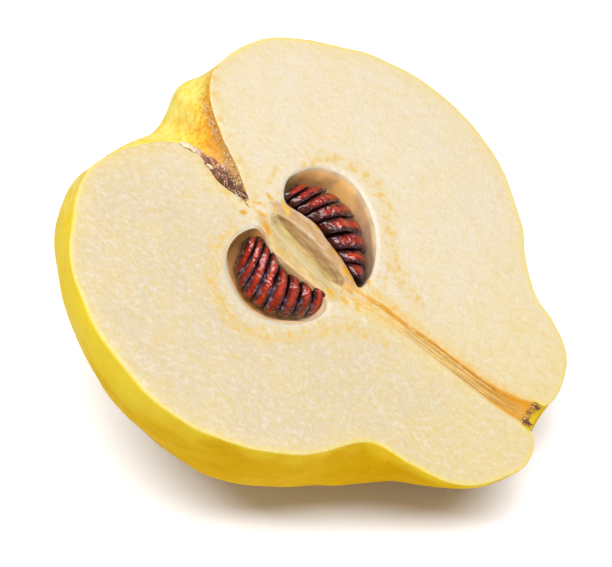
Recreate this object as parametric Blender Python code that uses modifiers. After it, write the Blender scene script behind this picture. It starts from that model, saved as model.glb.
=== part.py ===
"""Half a quince, cut lengthwise through its core and lying on its rounded skin.

The fruit is modelled in its own frame, in millimetres: +X runs along the core from the calyx end to the
stem end, +Y crosses the cut face and +Z stands out of it. The flesh fills Z below zero. An empty then
tips the whole half into the pose in which it rests, with +Z up and the floor at Z = 0.
"""

import math
import random

import bmesh
import bpy
from mathutils import Euler, Matrix, Vector

MM = 0.001

DIP = math.radians(25.3)  # the half lies tipped towards its narrow stem end, as a pear half does
FLAT_DEPTH = 1.1  # how much of the belly the resting spot takes off

# Stations from the calyx pit to the stem pit. Each gives three points of one girth: on the cut face's
# far edge (x, y), down the middle of the back (x, depth) and on the cut face's near edge (x, y).
STATIONS = (
    ((-13.7, 0.6), (-13.7, 0.0), (-13.7, 0.6)),  # pit of the calyx tube
    ((-19.5, 5.2), (-20.0, 3.2), (-20.8, 0.1)),  # mouth of the tube
    ((-26.4, 9.4), (-27.0, 6.0), (-27.2, 2.2)),  # wall of the calyx basin
    ((-32.9, 15.3), (-33.5, 11.0), (-33.0, 0.4)),
    ((-34.9, 22.0), (-39.6, 18.0), (-41.3, -13.4)),  # lip of the basin
    ((-31.5, 32.3), (-37.8, 28.5), (-39.0, -24.7)),
    ((-22.0, 41.2), (-28.0, 37.5), (-32.0, -34.6)),  # shoulder
    ((-10.5, 47.3), (-15.0, 43.5), (-19.9, -42.4)),
    ((3.6, 49.7), (1.0, 46.0), (-1.8, -45.6)),  # widest girth
    ((18.6, 46.2), (15.5, 43.0), (12.2, -42.0)),
    ((30.5, 37.6), (27.0, 36.0), (22.2, -35.4)),
    ((40.9, 26.0), (36.5, 28.5), (31.2, -24.8)),  # waist above the neck
    ((47.3, 22.9), (44.0, 25.5), (39.5, -23.0)),
    ((53.4, 18.5), (51.8, 20.5), (50.5, -19.4)),  # bulge of the neck
    ((56.2, 10.6), (56.5, 11.0), (57.6, -8.5)),
    ((55.0, 5.9), (55.6, 3.9), (56.3, -1.4)),  # rim of the stem pit
    ((52.9, 5.1), (52.9, 2.9), (52.9, -0.5)),  # floor of the stem pit
    ((52.7, 2.3), (52.7, 0.0), (52.7, 2.3)),
)
# The back is lobed near the cut face's near edge: how far it bulges there at each station (a hollow is
# negative), and between which degrees of the girth, counted from the far edge.
LOBES = (0, 0, 0, 0, 0, 0, -0.6, -0.3, 0.9, 2.8, 3.7, 7.2, 0.7, -2.0, -0.6, 0, 0, 0)
LOBE_SPAN = (115, 180)
STEPS_PER_STATION = 3
STEPS_ROUND = 26
RIB_COUNT, RIB_HEIGHT = 5, 0.012  # the faint ribs of the back, as a share of its depth

# The two seed chambers of the core: D-shaped bowls, straight on the side towards the core's axis.
# Each has a frame of its own, turned in the cut face, and a row of seeds stacked along its X.
CHAMBERS = {
    "near": {
        "centre": (-1.0, -7.5), "turn": -9.0, "outward": -1, "half_length": 11.1, "inner": 3.0, "outer": 10.4,
        "seeds_from": -7.9, "seeds_to": 7.1, "row_offset": 1.5, "row_bow": 0.9, "seed_lean": (-70.0, -62.0),
    },
    "far": {
        "centre": (1.35, 7.5), "turn": -16.0, "outward": 1, "half_length": 12.3, "inner": 3.5, "outer": 10.8,
        "seeds_from": -8.1, "seeds_to": 8.3, "row_offset": 1.0, "row_bow": 1.9, "seed_lean": (76.0, 56.0),
    },
}
CHAMBER_DEPTH = 8.5
BOWL_FULLNESS = 0.6  # below 1 the bowl's floor is flatter than an ellipsoid's
CORNER_FULLNESS = 0.5  # below 1 the straight side has squarer corners
PITH_SLOT = {"centre": (0.1, 0.0), "turn": -11.0, "half_size": (9.9, 2.7, 2.3)}
CUTTER_RISE = 0.4  # keeps each cutter's widest ring clear of the cut face's plane

SEEDS_IN_ROW = 8
SEED_LENGTH, SEED_WIDTH, SEED_THICK = 7.0, 4.4, 1.7
SEED_DEPTH = 3.0  # of a seed's centre under the cut face

# The dry calyx: three curled sepals at the mouth of its tube and a tuft of stamens inside it.
SEPALS = (
    # centre, length, width, rotation in degrees
    ((-28.3, 3.9, -1.2), 3.2, 1.7, (12.0, -8.0, -24.0)),
    ((-24.8, 3.4, -1.5), 2.7, 1.6, (-20.0, 14.0, -30.0)),
    ((-21.9, 3.7, -1.4), 2.2, 1.5, (25.0, 10.0, -40.0)),
)
SEPAL_THICK = 0.5
TUFT_LENGTH, TUFT_WIDE, TUFT_NARROW = 4.2, 0.98, 0.35

STUB_RADIUS, STUB_LENGTH = 2.2, 2.3
STUB_CENTRE = (54.4, 2.3)

SKIN = (0.86, 0.66, 0.08)
SEED_BROWN = (0.20, 0.03, 0.02)
DRY_BROWN = (0.24, 0.13, 0.06)


def material(name, colour, roughness):
    made = bpy.data.materials.new(name)
    made.use_nodes = True
    shader = made.node_tree.nodes["Principled BSDF"]
    shader.inputs["Base Color"].default_value = (*colour, 1.0)
    shader.inputs["Roughness"].default_value = roughness
    shader.inputs["Metallic"].default_value = 0.0
    return made


def collection(name):
    made = bpy.data.collections.new(name)
    bpy.context.scene.collection.children.link(made)
    return made


def object_from(bm, name, home, finish=None):
    """Turns a bmesh in millimetres into an object in metres."""
    bmesh.ops.scale(bm, vec=Vector((MM, MM, MM)), verts=bm.verts)
    bmesh.ops.recalc_face_normals(bm, faces=bm.faces)
    mesh = bpy.data.meshes.new(name)
    bm.to_mesh(mesh)
    bm.free()
    mesh.shade_smooth()
    mesh.set_sharp_from_angle(angle=math.radians(50))
    made = bpy.data.objects.new(name, mesh)
    if finish:
        mesh.materials.append(finish)
    home.objects.link(made)
    return made


def cut_away(body, cutter, name):
    cutter.hide_render = True
    cutter.display_type = "WIRE"
    cut = body.modifiers.new(name, "BOOLEAN")
    cut.operation = "DIFFERENCE"
    cut.solver = "EXACT"
    cut.object = cutter


def smooth_through(points, steps):
    """Points on a centripetal Catmull-Rom curve through the given ones."""
    ends = [2 * points[0] - points[1], *points, 2 * points[-1] - points[-2]]
    curve = []
    for before, start, end, after in zip(ends, ends[1:], ends[2:], ends[3:]):
        gaps = [math.sqrt((b - a).length) for a, b in ((before, start), (start, end), (end, after))]
        out = (start - before) / gaps[0] - (end - before) / (gaps[0] + gaps[1]) + (end - start) / gaps[1]
        back = (end - start) / gaps[1] - (after - start) / (gaps[1] + gaps[2]) + (after - end) / gaps[2]
        for step in range(steps):
            t = step / steps
            curve.append(
                start * (2 * t**3 - 3 * t**2 + 1)
                + end * (3 * t**2 - 2 * t**3)
                + out * gaps[1] * (t**3 - 2 * t**2 + t)
                + back * gaps[1] * (t**3 - t**2)
            )
    return [*curve, points[-1].copy()]


def girth(far, back, near, lobe):
    """Half an ellipse from the far edge of the cut face, round the back, to the near edge."""
    middle = (far + near) / 2
    across = (far - near) / 2
    down = Vector((back.x - middle.x, 0, -back.y))
    lobe_start, lobe_end = (math.radians(edge) for edge in LOBE_SPAN)
    points = []
    for step in range(STEPS_ROUND + 1):
        angle = math.pi * step / STEPS_ROUND
        rib = 1 + RIB_HEIGHT * math.sin(angle) ** 2 * math.cos(RIB_COUNT * angle)
        in_lobe = max(0.0, (angle - lobe_start) / (lobe_end - lobe_start))
        bulge = lobe * math.sin(math.pi * in_lobe) ** 2
        outward = across.normalized() * math.cos(angle) + down.normalized() * math.sin(angle)
        points.append(middle + across * math.cos(angle) + down * math.sin(angle) * rib + outward * bulge)
    return points


def make_flesh(home, finish):
    """The half fruit: its girths lofted from pit to pit, and closed by the flat cut face."""
    far, back, near = (
        smooth_through([Vector((*station[edge], 0)) for station in STATIONS], STEPS_PER_STATION)
        for edge in range(3)
    )
    lobes = [
        point.y
        for point in smooth_through([Vector((at, lobe, 0)) for at, lobe in enumerate(LOBES)], STEPS_PER_STATION)
    ]
    girths = [girth(*edges) for edges in zip(far, back, near, lobes)]
    bm = bmesh.new()
    rows = [[bm.verts.new(point) for point in points] for points in girths]
    for row, following in zip(rows, rows[1:]):
        for a, b, c, d in zip(row, row[1:], following[1:], following):
            bm.faces.new((a, b, c, d))
    edge = [row[0] for row in rows[1:-1]] + [row[-1] for row in reversed(rows)]
    bm.faces.new([rows[0][0], *edge])
    bmesh.ops.remove_doubles(bm, verts=bm.verts, dist=0.01)
    bmesh.ops.triangulate(bm, faces=bm.faces)
    return object_from(bm, "quince_half", home, finish)


def in_face(centre, turn, height=0.0):
    """A place on the cut face, turned about its normal."""
    return Matrix.Translation((*centre, height)) @ Matrix.Rotation(math.radians(turn), 4, "Z")


def make_chamber_cutter(name, chamber, home):
    """A bowl that is wider on the side away from the core's axis."""
    bm = bmesh.new()
    bmesh.ops.create_uvsphere(bm, u_segments=28, v_segments=16, radius=1.0)
    for vertex in bm.verts:
        x, y, z = vertex.co
        if y * chamber["outward"] > 0:
            y *= chamber["outer"]
        else:
            y = math.copysign(abs(y) ** CORNER_FULLNESS * chamber["inner"], y)
        z = math.copysign(abs(z) ** BOWL_FULLNESS * CHAMBER_DEPTH, z)
        vertex.co = Vector((x * chamber["half_length"], y, z))
    place = in_face(chamber["centre"], chamber["turn"], CUTTER_RISE)
    bmesh.ops.transform(bm, matrix=place, verts=bm.verts)
    return object_from(bm, f"{name}_chamber_cutter", home)


def make_slot_cutter(home):
    bm = bmesh.new()
    bmesh.ops.create_uvsphere(bm, u_segments=16, v_segments=10, radius=1.0)
    bmesh.ops.scale(bm, vec=Vector(PITH_SLOT["half_size"]), verts=bm.verts)
    place = in_face(PITH_SLOT["centre"], PITH_SLOT["turn"], CUTTER_RISE)
    bmesh.ops.transform(bm, matrix=place, verts=bm.verts)
    return object_from(bm, "pith_slot_cutter", home)


def make_floor_cutter(home):
    """A slab whose top is the floor: what the belly would push through it becomes the resting spot."""
    bm = bmesh.new()
    bmesh.ops.create_cube(bm, size=1.0)
    bmesh.ops.scale(bm, vec=Vector((260, 260, 30)), verts=bm.verts)
    bmesh.ops.translate(bm, vec=Vector((0, 0, -15)), verts=bm.verts)
    return object_from(bm, "floor_cutter", home)


def make_seed_mesh(bm):
    """An egg along X, blunt at the +X end and narrow at the other, thin along Y."""
    bmesh.ops.create_uvsphere(bm, u_segments=10, v_segments=8, radius=0.5)
    bmesh.ops.rotate(bm, matrix=Matrix.Rotation(math.pi / 2, 3, "Y"), verts=bm.verts)
    for vertex in bm.verts:
        narrowing = 1 - 0.3 * (0.5 - vertex.co.x)
        vertex.co = Vector((
            vertex.co.x * SEED_LENGTH,
            vertex.co.y * SEED_THICK * narrowing,
            vertex.co.z * SEED_WIDTH * narrowing,
        ))


def make_seeds(name, chamber, home, finish):
    """A row of seeds on edge, leaning over and bowed away from the core's axis."""
    seeds = []
    for index in range(SEEDS_IN_ROW):
        share = index / (SEEDS_IN_ROW - 1)
        first_lean, last_lean = chamber["seed_lean"]
        x = chamber["seeds_from"] + (chamber["seeds_to"] - chamber["seeds_from"]) * share
        y = chamber["outward"] * (chamber["row_offset"] + chamber["row_bow"] * 4 * share * (1 - share))
        lean = math.radians(first_lean + (last_lean - first_lean) * share)
        bm = bmesh.new()
        make_seed_mesh(bm)
        place = Matrix.Translation((x, y, -SEED_DEPTH)) @ Matrix.Rotation(lean, 4, "Z")
        bmesh.ops.transform(
            bm, matrix=in_face(chamber["centre"], chamber["turn"]) @ place, verts=bm.verts
        )
        seeds.append(object_from(bm, f"seed_{name}_{index + 1}", home, finish))
    return seeds


def make_sepal(index, centre, length, width, angles, home, finish):
    """A dry flake, a little cupped."""
    bm = bmesh.new()
    bmesh.ops.create_grid(bm, x_segments=4, y_segments=3, size=0.5)
    for vertex in bm.verts:
        x, y = vertex.co.x, vertex.co.y
        tip = 1 - 0.45 * (x + 0.5)
        vertex.co = Vector((x * length, y * width * tip, 0.5 * y * y + 0.35 * x * x))
    turn = Euler([math.radians(angle) for angle in angles]).to_matrix().to_4x4()
    bmesh.ops.transform(bm, matrix=Matrix.Translation(centre) @ turn, verts=bm.verts)
    sepal = object_from(bm, f"dry_sepal_{index}", home, finish)
    thickness = sepal.modifiers.new("flake_thickness", "SOLIDIFY")
    thickness.thickness = SEPAL_THICK * MM
    thickness.offset = 0.0
    return sepal


def make_stamen_tuft(home, finish):
    """The withered stamens, packed as a rough cone down the calyx tube."""
    bm = bmesh.new()
    bmesh.ops.create_cone(
        bm, cap_ends=True, segments=10, radius1=TUFT_WIDE, radius2=TUFT_NARROW, depth=TUFT_LENGTH
    )
    ragged = random.Random(3)
    for vertex in bm.verts:
        if vertex.co.z < 0:
            vertex.co.z -= ragged.uniform(0.0, 0.5)
    bmesh.ops.rotate(bm, matrix=Matrix.Rotation(math.pi / 2, 3, "Y"), verts=bm.verts)
    bmesh.ops.scale(bm, vec=Vector((1, 1, 0.8)), verts=bm.verts)
    bmesh.ops.transform(bm, matrix=in_face((-17.9, 1.75), -17.0, -0.5), verts=bm.verts)
    return object_from(bm, "stamen_tuft", home, finish)


def make_stem_stub(home, finish):
    """What is left of the stem in its pit, cut in half with the fruit."""
    bm = bmesh.new()
    bmesh.ops.create_cone(
        bm, cap_ends=True, segments=16, radius1=STUB_RADIUS, radius2=STUB_RADIUS * 1.08, depth=STUB_LENGTH
    )
    bmesh.ops.rotate(bm, matrix=Matrix.Rotation(math.pi / 2, 3, "Y"), verts=bm.verts)
    geometry = [*bm.verts, *bm.edges, *bm.faces]
    halves = bmesh.ops.bisect_plane(
        bm, geom=geometry, plane_co=(0, 0, 0), plane_no=(0, 0, 1), clear_outer=True
    )
    bmesh.ops.holes_fill(bm, edges=[e for e in halves["geom_cut"] if isinstance(e, bmesh.types.BMEdge)])
    bmesh.ops.transform(bm, matrix=in_face(STUB_CENTRE, 0.0), verts=bm.verts)
    return object_from(bm, "stem_stub", home, finish)


def set_down(parts, body):
    """Parents the parts to one empty, and tips and lifts it so that the half rests on the floor."""
    rest = bpy.data.objects.new("rest_pose", None)
    bpy.context.scene.collection.objects.link(rest)
    rest.rotation_euler = (0.0, DIP, 0.0)
    turn = rest.rotation_euler.to_matrix()
    points = [turn @ vertex.co for part in parts for vertex in part.data.vertices]
    low = [min(point[axis] for point in points) for axis in range(3)]
    high = [max(point[axis] for point in points) for axis in range(3)]
    lowest = min((turn @ vertex.co).z for vertex in body.data.vertices)
    rest.location = (
        -(low[0] + high[0]) / 2,
        -(low[1] + high[1]) / 2,
        -lowest - FLAT_DEPTH * MM,
    )
    for part in parts:
        part.parent = rest
    return rest


def main():
    for old in list(bpy.data.objects):
        bpy.data.objects.remove(old)
    fruit = collection("half_quince")
    cutters = collection("cutters")
    skin = material("quince_skin", SKIN, 0.42)
    seed_coat = material("seed_coat", SEED_BROWN, 0.22)
    dry = material("dry_calyx_and_stem", DRY_BROWN, 0.85)

    flesh = make_flesh(fruit, skin)
    shapes = [make_chamber_cutter(name, chamber, cutters) for name, chamber in CHAMBERS.items()]
    shapes.append(make_slot_cutter(cutters))
    for shape in shapes:
        cut_away(flesh, shape, shape.name.removesuffix("_cutter"))

    parts = [flesh]
    for name, chamber in CHAMBERS.items():
        parts += make_seeds(name, chamber, fruit, seed_coat)
    for index, sepal in enumerate(SEPALS, start=1):
        parts.append(make_sepal(index, *sepal, fruit, dry))
    parts.append(make_stamen_tuft(fruit, dry))
    parts.append(make_stem_stub(fruit, dry))

    rest = set_down(parts, flesh)
    for shape in shapes:
        shape.parent = rest
    cut_away(flesh, make_floor_cutter(cutters), "resting_spot")


main()
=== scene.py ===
import math
import random

import bmesh
import bpy
import numpy as np
from mathutils import Matrix, Vector, noise
from mathutils.geometry import delaunay_2d_cdt


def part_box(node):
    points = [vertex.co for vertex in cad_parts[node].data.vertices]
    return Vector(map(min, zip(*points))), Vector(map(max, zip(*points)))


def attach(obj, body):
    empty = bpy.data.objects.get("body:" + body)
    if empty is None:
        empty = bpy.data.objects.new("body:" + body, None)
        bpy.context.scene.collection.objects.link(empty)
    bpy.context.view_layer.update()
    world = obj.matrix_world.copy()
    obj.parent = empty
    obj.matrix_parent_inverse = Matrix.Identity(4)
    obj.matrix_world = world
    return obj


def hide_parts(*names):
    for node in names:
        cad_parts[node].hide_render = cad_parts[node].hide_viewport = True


# Half a quince, cut through its core. Shapes are worked out in the fruit's own frame, in millimetres:
# x runs along the core from calyx to stem, y crosses the cut face, z stands out of it.

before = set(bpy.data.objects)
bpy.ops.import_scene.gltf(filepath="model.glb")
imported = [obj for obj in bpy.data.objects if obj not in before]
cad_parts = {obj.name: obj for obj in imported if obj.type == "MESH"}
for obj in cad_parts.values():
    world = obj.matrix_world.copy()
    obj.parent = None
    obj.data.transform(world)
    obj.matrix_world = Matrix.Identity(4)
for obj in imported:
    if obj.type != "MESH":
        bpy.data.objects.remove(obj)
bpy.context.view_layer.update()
mm = 0.001
batch = 2000  # points measured at a time, to spare memory


def smoothThrough(points, steps, closed=False):  # a centripetal Catmull-Rom curve
    points = [Vector(p) for p in points]
    if closed:
        ends = [points[-1], *points, points[0], points[1]]
    else:
        ends = [2 * points[0] - points[1], *points, 2 * points[-1] - points[-2]]
    curve = []
    for before, start, end, after in zip(ends, ends[1:], ends[2:], ends[3:]):
        gaps = [math.sqrt((b - a).length) for a, b in ((before, start), (start, end), (end, after))]
        out = (start - before) / gaps[0] - (end - before) / (gaps[0] + gaps[1]) + (end - start) / gaps[1]
        back = (end - start) / gaps[1] - (after - start) / (gaps[1] + gaps[2]) + (after - end) / gaps[2]
        for step in range(steps):
            t = step / steps
            curve.append(
                start * (2 * t**3 - 3 * t**2 + 1)
                + end * (3 * t**2 - 2 * t**3)
                + out * gaps[1] * (t**3 - 2 * t**2 + t)
                + back * gaps[1] * (t**3 - t**2)
            )
    return curve if closed else [*curve, points[-1].copy()]


def evenly(points, gap, closed=False):
    line = np.array([tuple(p) for p in points])
    if closed:
        line = np.vstack([line, line[:1]])
    run = np.r_[0, np.cumsum(np.linalg.norm(np.diff(line, axis=0), axis=1))]
    count = max(3, round(run[-1] / gap))
    at = np.linspace(0, run[-1], count + 1)
    even = np.stack([np.interp(at, run, line[:, axis]) for axis in range(line.shape[1])], axis=1)
    return even[:-1] if closed else even


def distanceTo(points, line, closed=False):
    line = np.asarray([tuple(p)[:2] for p in line])
    if closed:
        line = np.vstack([line, line[:1]])
    start, along = line[:-1], np.diff(line, axis=0)
    length = np.maximum((along**2).sum(1), 1e-12)
    nearest = np.empty(len(points))
    for first in range(0, len(points), batch):
        part = points[first:first + batch, None, :2] - start[None]
        share = np.clip((part * along).sum(2) / length, 0, 1)
        gap = part - share[..., None] * along
        nearest[first:first + batch] = np.sqrt((gap**2).sum(2)).min(1)
    return nearest


def isInside(points, loop):
    loop = np.asarray(loop)[:, :2]
    ax, ay = loop[:, 0], loop[:, 1]
    bx, by = np.roll(ax, -1), np.roll(ay, -1)
    inside = np.zeros(len(points), bool)
    rise = np.where(by == ay, 1e-12, by - ay)
    for first in range(0, len(points), batch):
        x, y = points[first:first + batch, 0, None], points[first:first + batch, 1, None]
        crosses = ((ay > y) != (by > y)) & (x < (bx - ax) * (y - ay) / rise + ax)
        inside[first:first + batch] = crosses.sum(1) % 2 == 1
    return inside


def noiseSum(place, waves, seed=0.0):  # each wave is (wavelength, height)
    shift = Vector((seed, seed, seed))
    return sum(height * noise.noise(Vector(place) / wave + shift) for wave, height in waves)


fruit = {
    "dip": 25.3,  # degrees the stem end tips down
    # far edge of the cut face (x, y), middle of the back (x, depth), near edge of the cut face (x, y)
    "stations": (
        ((-13.7, 0.6), (-13.7, 0.0), (-13.7, 0.6)),  # pit of the calyx tube
        ((-19.5, 5.2), (-20.0, 3.2), (-20.8, 0.1)),
        ((-26.4, 9.4), (-27.0, 6.0), (-27.2, 2.2)),
        ((-32.9, 15.3), (-33.5, 11.0), (-33.0, 0.4)),
        ((-34.9, 22.0), (-39.6, 18.0), (-41.3, -13.4)),  # lip of the calyx basin
        ((-31.5, 32.3), (-37.8, 28.5), (-39.0, -24.7)),
        ((-22.0, 41.2), (-28.0, 37.5), (-32.0, -34.6)),
        ((-10.5, 47.3), (-15.0, 43.5), (-19.9, -42.4)),
        ((3.6, 49.7), (1.0, 46.0), (-1.8, -45.6)),  # widest girth
        ((18.6, 46.2), (15.5, 43.0), (12.2, -42.0)),
        ((30.5, 37.6), (27.0, 36.0), (22.2, -35.4)),
        ((40.9, 26.0), (36.5, 28.5), (31.2, -24.8)),  # waist above the neck
        ((47.3, 22.9), (44.0, 25.5), (39.5, -23.0)),
        ((53.4, 18.5), (51.8, 20.5), (50.5, -19.4)),
        ((56.2, 10.6), (56.5, 11.0), (57.6, -8.5)),
        ((55.0, 5.9), (55.6, 3.9), (56.3, -1.4)),  # rim of the stem pit
        ((52.9, 5.1), (52.9, 2.9), (52.9, -0.5)),
        ((52.7, 2.3), (52.7, 0.0), (52.7, 2.3)),
    ),
    "stepsPerStation": 10,
    "stepsRound": 132,
    "ribs": 5,
    "ribHeight": 0.012,
    # how far the lobe under the near edge bulges at each station
    "lobes": (0, 0, 0, 0, 0, 0, -0.6, -0.3, 0.9, 2.8, 3.7, 7.2, 0.7, -2.0, -0.6, 0, 0, 0),
    "lobeSpan": (115, 180),  # degrees round the girth
    "lumps": ((17.0, 0.50), (8.0, 0.38), (3.6, 0.09)),  # wavelength, height
    "calm": (4, 2.5),  # stations at the calyx and at the stem over which the lumps fade in
}

# the lip of the calyx basin is lumpy: degrees round the girth, width, height
basinLumps = {
    "station": 4.1,
    "width": 1.1,
    "lumps": ((37, 12, 1.5), (67, 13, -1.4), (98, 13, 0.6), (126, 12, -0.5), (152, 11, 0.5)),
}


def girth(far, back, near, lobe, steps):
    middle, across = (far + near) / 2, (far - near) / 2
    down = Vector((back.x - middle.x, 0, -back.y))
    lobeStart, lobeEnd = (math.radians(edge) for edge in fruit["lobeSpan"])
    points = []
    for step in range(steps + 1):
        angle = math.pi * step / steps
        rib = 1 + fruit["ribHeight"] * math.sin(angle) ** 2 * math.cos(fruit["ribs"] * angle)
        bulge = math.sin(math.pi * max(0, angle - lobeStart) / (lobeEnd - lobeStart)) ** 2 * lobe.y
        outward = across.normalized() * math.cos(angle) + down.normalized() * math.sin(angle)
        points.append(middle + across * math.cos(angle) + down * math.sin(angle) * rib + outward * bulge)
    return points


def girths(stepsPerStation, stepsRound):
    edges = [
        smoothThrough([(*station[edge], 0) for station in fruit["stations"]], stepsPerStation)
        for edge in range(3)
    ]
    lobes = [(number, lobe, 0) for number, lobe in enumerate(fruit["lobes"])]
    edges.append(smoothThrough(lobes, stepsPerStation))
    return np.array([[tuple(p) for p in girth(*four, stepsRound)] for four in zip(*edges)])


def findFruitPlace():
    turn = Matrix.Rotation(math.radians(fruit["dip"]), 3, "Y")
    points = girths(3, 26).reshape(-1, 3) @ np.array(turn).T * mm
    low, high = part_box("quince_half")
    lift = Vector((
        (low.x + high.x - points[:, 0].min() - points[:, 0].max()) / 2,
        (low.y + high.y - points[:, 1].min() - points[:, 1].max()) / 2,
        high.z - points[:, 2].max(),
    ))
    return Matrix.Translation(lift) @ turn.to_4x4() @ Matrix.Scale(mm, 4)


fruitPlace = findFruitPlace()


def toFrame(points):
    matrix = np.array(fruitPlace)
    return np.asarray(points) @ matrix[:3, :3].T + matrix[:3, 3]


def makePiece(name, points, faces, materials, faceMaterial=None, facts=None, replaced=()):
    placed = toFrame(points)  # they come in the fruit's own frame
    placed[:, 2] = np.maximum(placed[:, 2], 0.0)  # nothing reaches below the resting spot
    mesh = bpy.data.meshes.new(name)
    mesh.from_pydata(placed.tolist(), [], faces)
    for material in materials:
        mesh.materials.append(material)
    if faceMaterial is not None:
        mesh.polygons.foreach_set("material_index", faceMaterial)
    grownAt = mesh.attributes.new("grown", "FLOAT_VECTOR", "POINT")
    grownAt.data.foreach_set("vector", np.asarray(points, float).ravel())
    for factName, values in (facts or {}).items():
        stored = mesh.attributes.new(factName, "FLOAT", "POINT")
        stored.data.foreach_set("value", np.asarray(values, float))
    mesh.shade_smooth()
    turned = bmesh.new()
    turned.from_mesh(mesh)
    bmesh.ops.recalc_face_normals(turned, faces=turned.faces)  # all outward
    turned.to_mesh(mesh)
    turned.free()
    piece = bpy.data.objects.new(name, mesh)
    bpy.context.scene.collection.objects.link(piece)
    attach(piece, "root")
    if replaced:
        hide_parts(*replaced)


def closedFaces(rings, sides):  # joins rings + 1 loops of points, with a cap at each end
    faces = []
    for ring in range(rings):
        for side in range(sides):
            a, b = ring * sides + side, ring * sides + (side + 1) % sides
            faces.append((a, b, b + sides, a + sides))
    faces.append(tuple(range(sides - 1, -1, -1)))
    faces.append(tuple(range(rings * sides, (rings + 1) * sides)))
    return faces


def tubes(paths, sides):  # each path is (points, radii)
    points, faces, owners = [], [], []
    for number, (line, radii) in enumerate(paths):
        line = np.asarray(line, float)
        along = np.gradient(line, axis=0)
        along /= np.maximum(np.linalg.norm(along, axis=1, keepdims=True), 1e-9)
        side = np.cross(along, (0.13, 0.05, 1.0))
        side /= np.maximum(np.linalg.norm(side, axis=1, keepdims=True), 1e-9)
        up = np.cross(side, along)
        first = len(points)
        for place, across, above, radius in zip(line, side, up, radii):
            for step in range(sides):
                angle = 2 * math.pi * step / sides
                points.append(place + radius * (across * math.cos(angle) + above * math.sin(angle)))
        for ring in range(len(line) - 1):
            for step in range(sides):
                a, b = first + ring * sides + step, first + ring * sides + (step + 1) % sides
                faces.append((a, a + sides, b + sides, b))
        faces.append(tuple(range(first, first + sides)))
        faces.append(tuple(range(first + len(line) * sides - 1, first + (len(line) - 1) * sides - 1, -1)))
        owners += [number] * (len(line) * sides)
    return np.array(points), faces, np.array(owners)


def skinGrid():
    grid = girths(fruit["stepsPerStation"], fruit["stepsRound"])
    outward = np.cross(np.gradient(grid, axis=0), np.gradient(grid, axis=1))
    outward /= np.maximum(np.linalg.norm(outward, axis=2, keepdims=True), 1e-9)
    rows, around = grid.shape[:2]
    outward *= -np.sign(outward[rows // 2, around // 2, 2])  # pointing down at the bottom of the girth
    steps = fruit["stepsPerStation"]
    calmAtCalyx, calmAtStem = fruit["calm"]
    for row in range(1, rows - 1):
        station = row / steps
        calm = min(1, station / calmAtCalyx) * min(1, (rows - 1 - row) / steps / calmAtStem)
        atLip = math.exp(-((station - basinLumps["station"]) / basinLumps["width"]) ** 2)
        for step in range(around):
            angle = math.pi * step / (around - 1)
            height = noiseSum(grid[row, step], fruit["lumps"]) * calm
            for middle, width, lump in basinLumps["lumps"]:
                height += atLip * lump * math.exp(-((math.degrees(angle) - middle) / width) ** 2)
            grid[row, step] += outward[row, step] * height
    grid[:, 0, 2] = grid[:, -1, 2] = 0.0  # the knife's plane
    return grid


cutFace = {
    "coarseStep": 1.05,
    "fineStep": 0.42,
    "fineRadius": 22.0,  # round the core
    "fineBox": ((-24, -24), (24, 24)),  # corners of what the fine points are scattered over
    "strandStep": 0.30,
    "strandBox": ((8, -5), (57, 9)),
    "strandReach": 3.6,  # from the strand's middle
    "rimStep": 0.40,
    "rimInsets": (0.2, 0.45, 0.85),  # rows of points inside the skin
    "hollowInsets": (0.2, 0.45),  # rows of points round each hollow
    "waves": ((26.0, 0.20), (6.0, 0.05), (2.0, 0.05)),  # wavelength, height
    "pithWaves": ((2.6, 0.30), (1.1, 0.16)),
    "pithWidth": 2.6,  # round the slot
    "edgeDrop": 0.12,
    "edgeWidth": 0.5,
    "strandDrop": 0.09,
    "strandRib": 0.09,
    "lipDrop": 0.34,  # how far the edge of a seed chamber is rounded down
    "lipWidth": 0.8,
    "slotLipDrop": 0.12,
}

chambers = {
    "far": {
        "rim": (
            (-9.9, 8.0), (-10.6, 11.2), (-7.6, 17.0), (-1.1, 19.4), (5.6, 16.6), (10.6, 11.1),
            (13.2, 4.4), (12.6, 1.0), (9.6, 2.4), (6.1, 4.0), (2.6, 5.0), (-1.1, 6.4), (-4.3, 6.3),
            (-8.3, 6.1),
        ),
        "spine": ((-4.5, 10.4), (6.5, 7.6)),  # the line that the bowl closes in on
        "depth": 8.5,
        "lean": (0.35, 1.7),  # mm that the wall leans in on the core's side and on the outer side
        "rings": 28,
        "squareness": 2.6,  # 2 would be a round bowl
        "ripple": 0.02,
    },
    "near": {
        "rim": (
            (-9.9, -2.6), (-12.0, -7.0), (-11.2, -11.8), (-7.6, -15.8), (-1.3, -18.0), (5.6, -15.3),
            (9.4, -10.2), (9.4, -6.5), (4.5, -5.5), (-0.7, -5.3), (-5.2, -4.6), (-7.8, -2.8),
        ),
        "spine": ((-5.5, -9.5), (3.5, -9.6)),
        "depth": 8.5,
        "lean": (0.35, 2.3),
        "rings": 28,
        "squareness": 2.6,
        "ripple": 0.02,
    },
}

pithSlot = {
    "rim": (
        (-9.4, 1.8), (-8.4, 2.7), (-5.0, 3.2), (-1.0, 3.1), (2.0, 2.6), (4.8, 2.1), (7.6, 1.4), (9.7, -0.4),
        (8.9, -2.8), (5.7, -3.4), (1.7, -3.1), (-2.5, -2.3), (-6.0, -0.9), (-8.3, 0.4),
    ),
    "spine": ((-7.6, 2.0), (7.4, -0.8)),
    "depth": 1.9,
    "lean": (0.0, 0.0),
    "rings": 26,
    "squareness": 0.95,
    "ripple": 0.10,
    "middle": (0.6, 0.22),  # height of the line down its middle, and how fast that falls towards the stem
}

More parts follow.
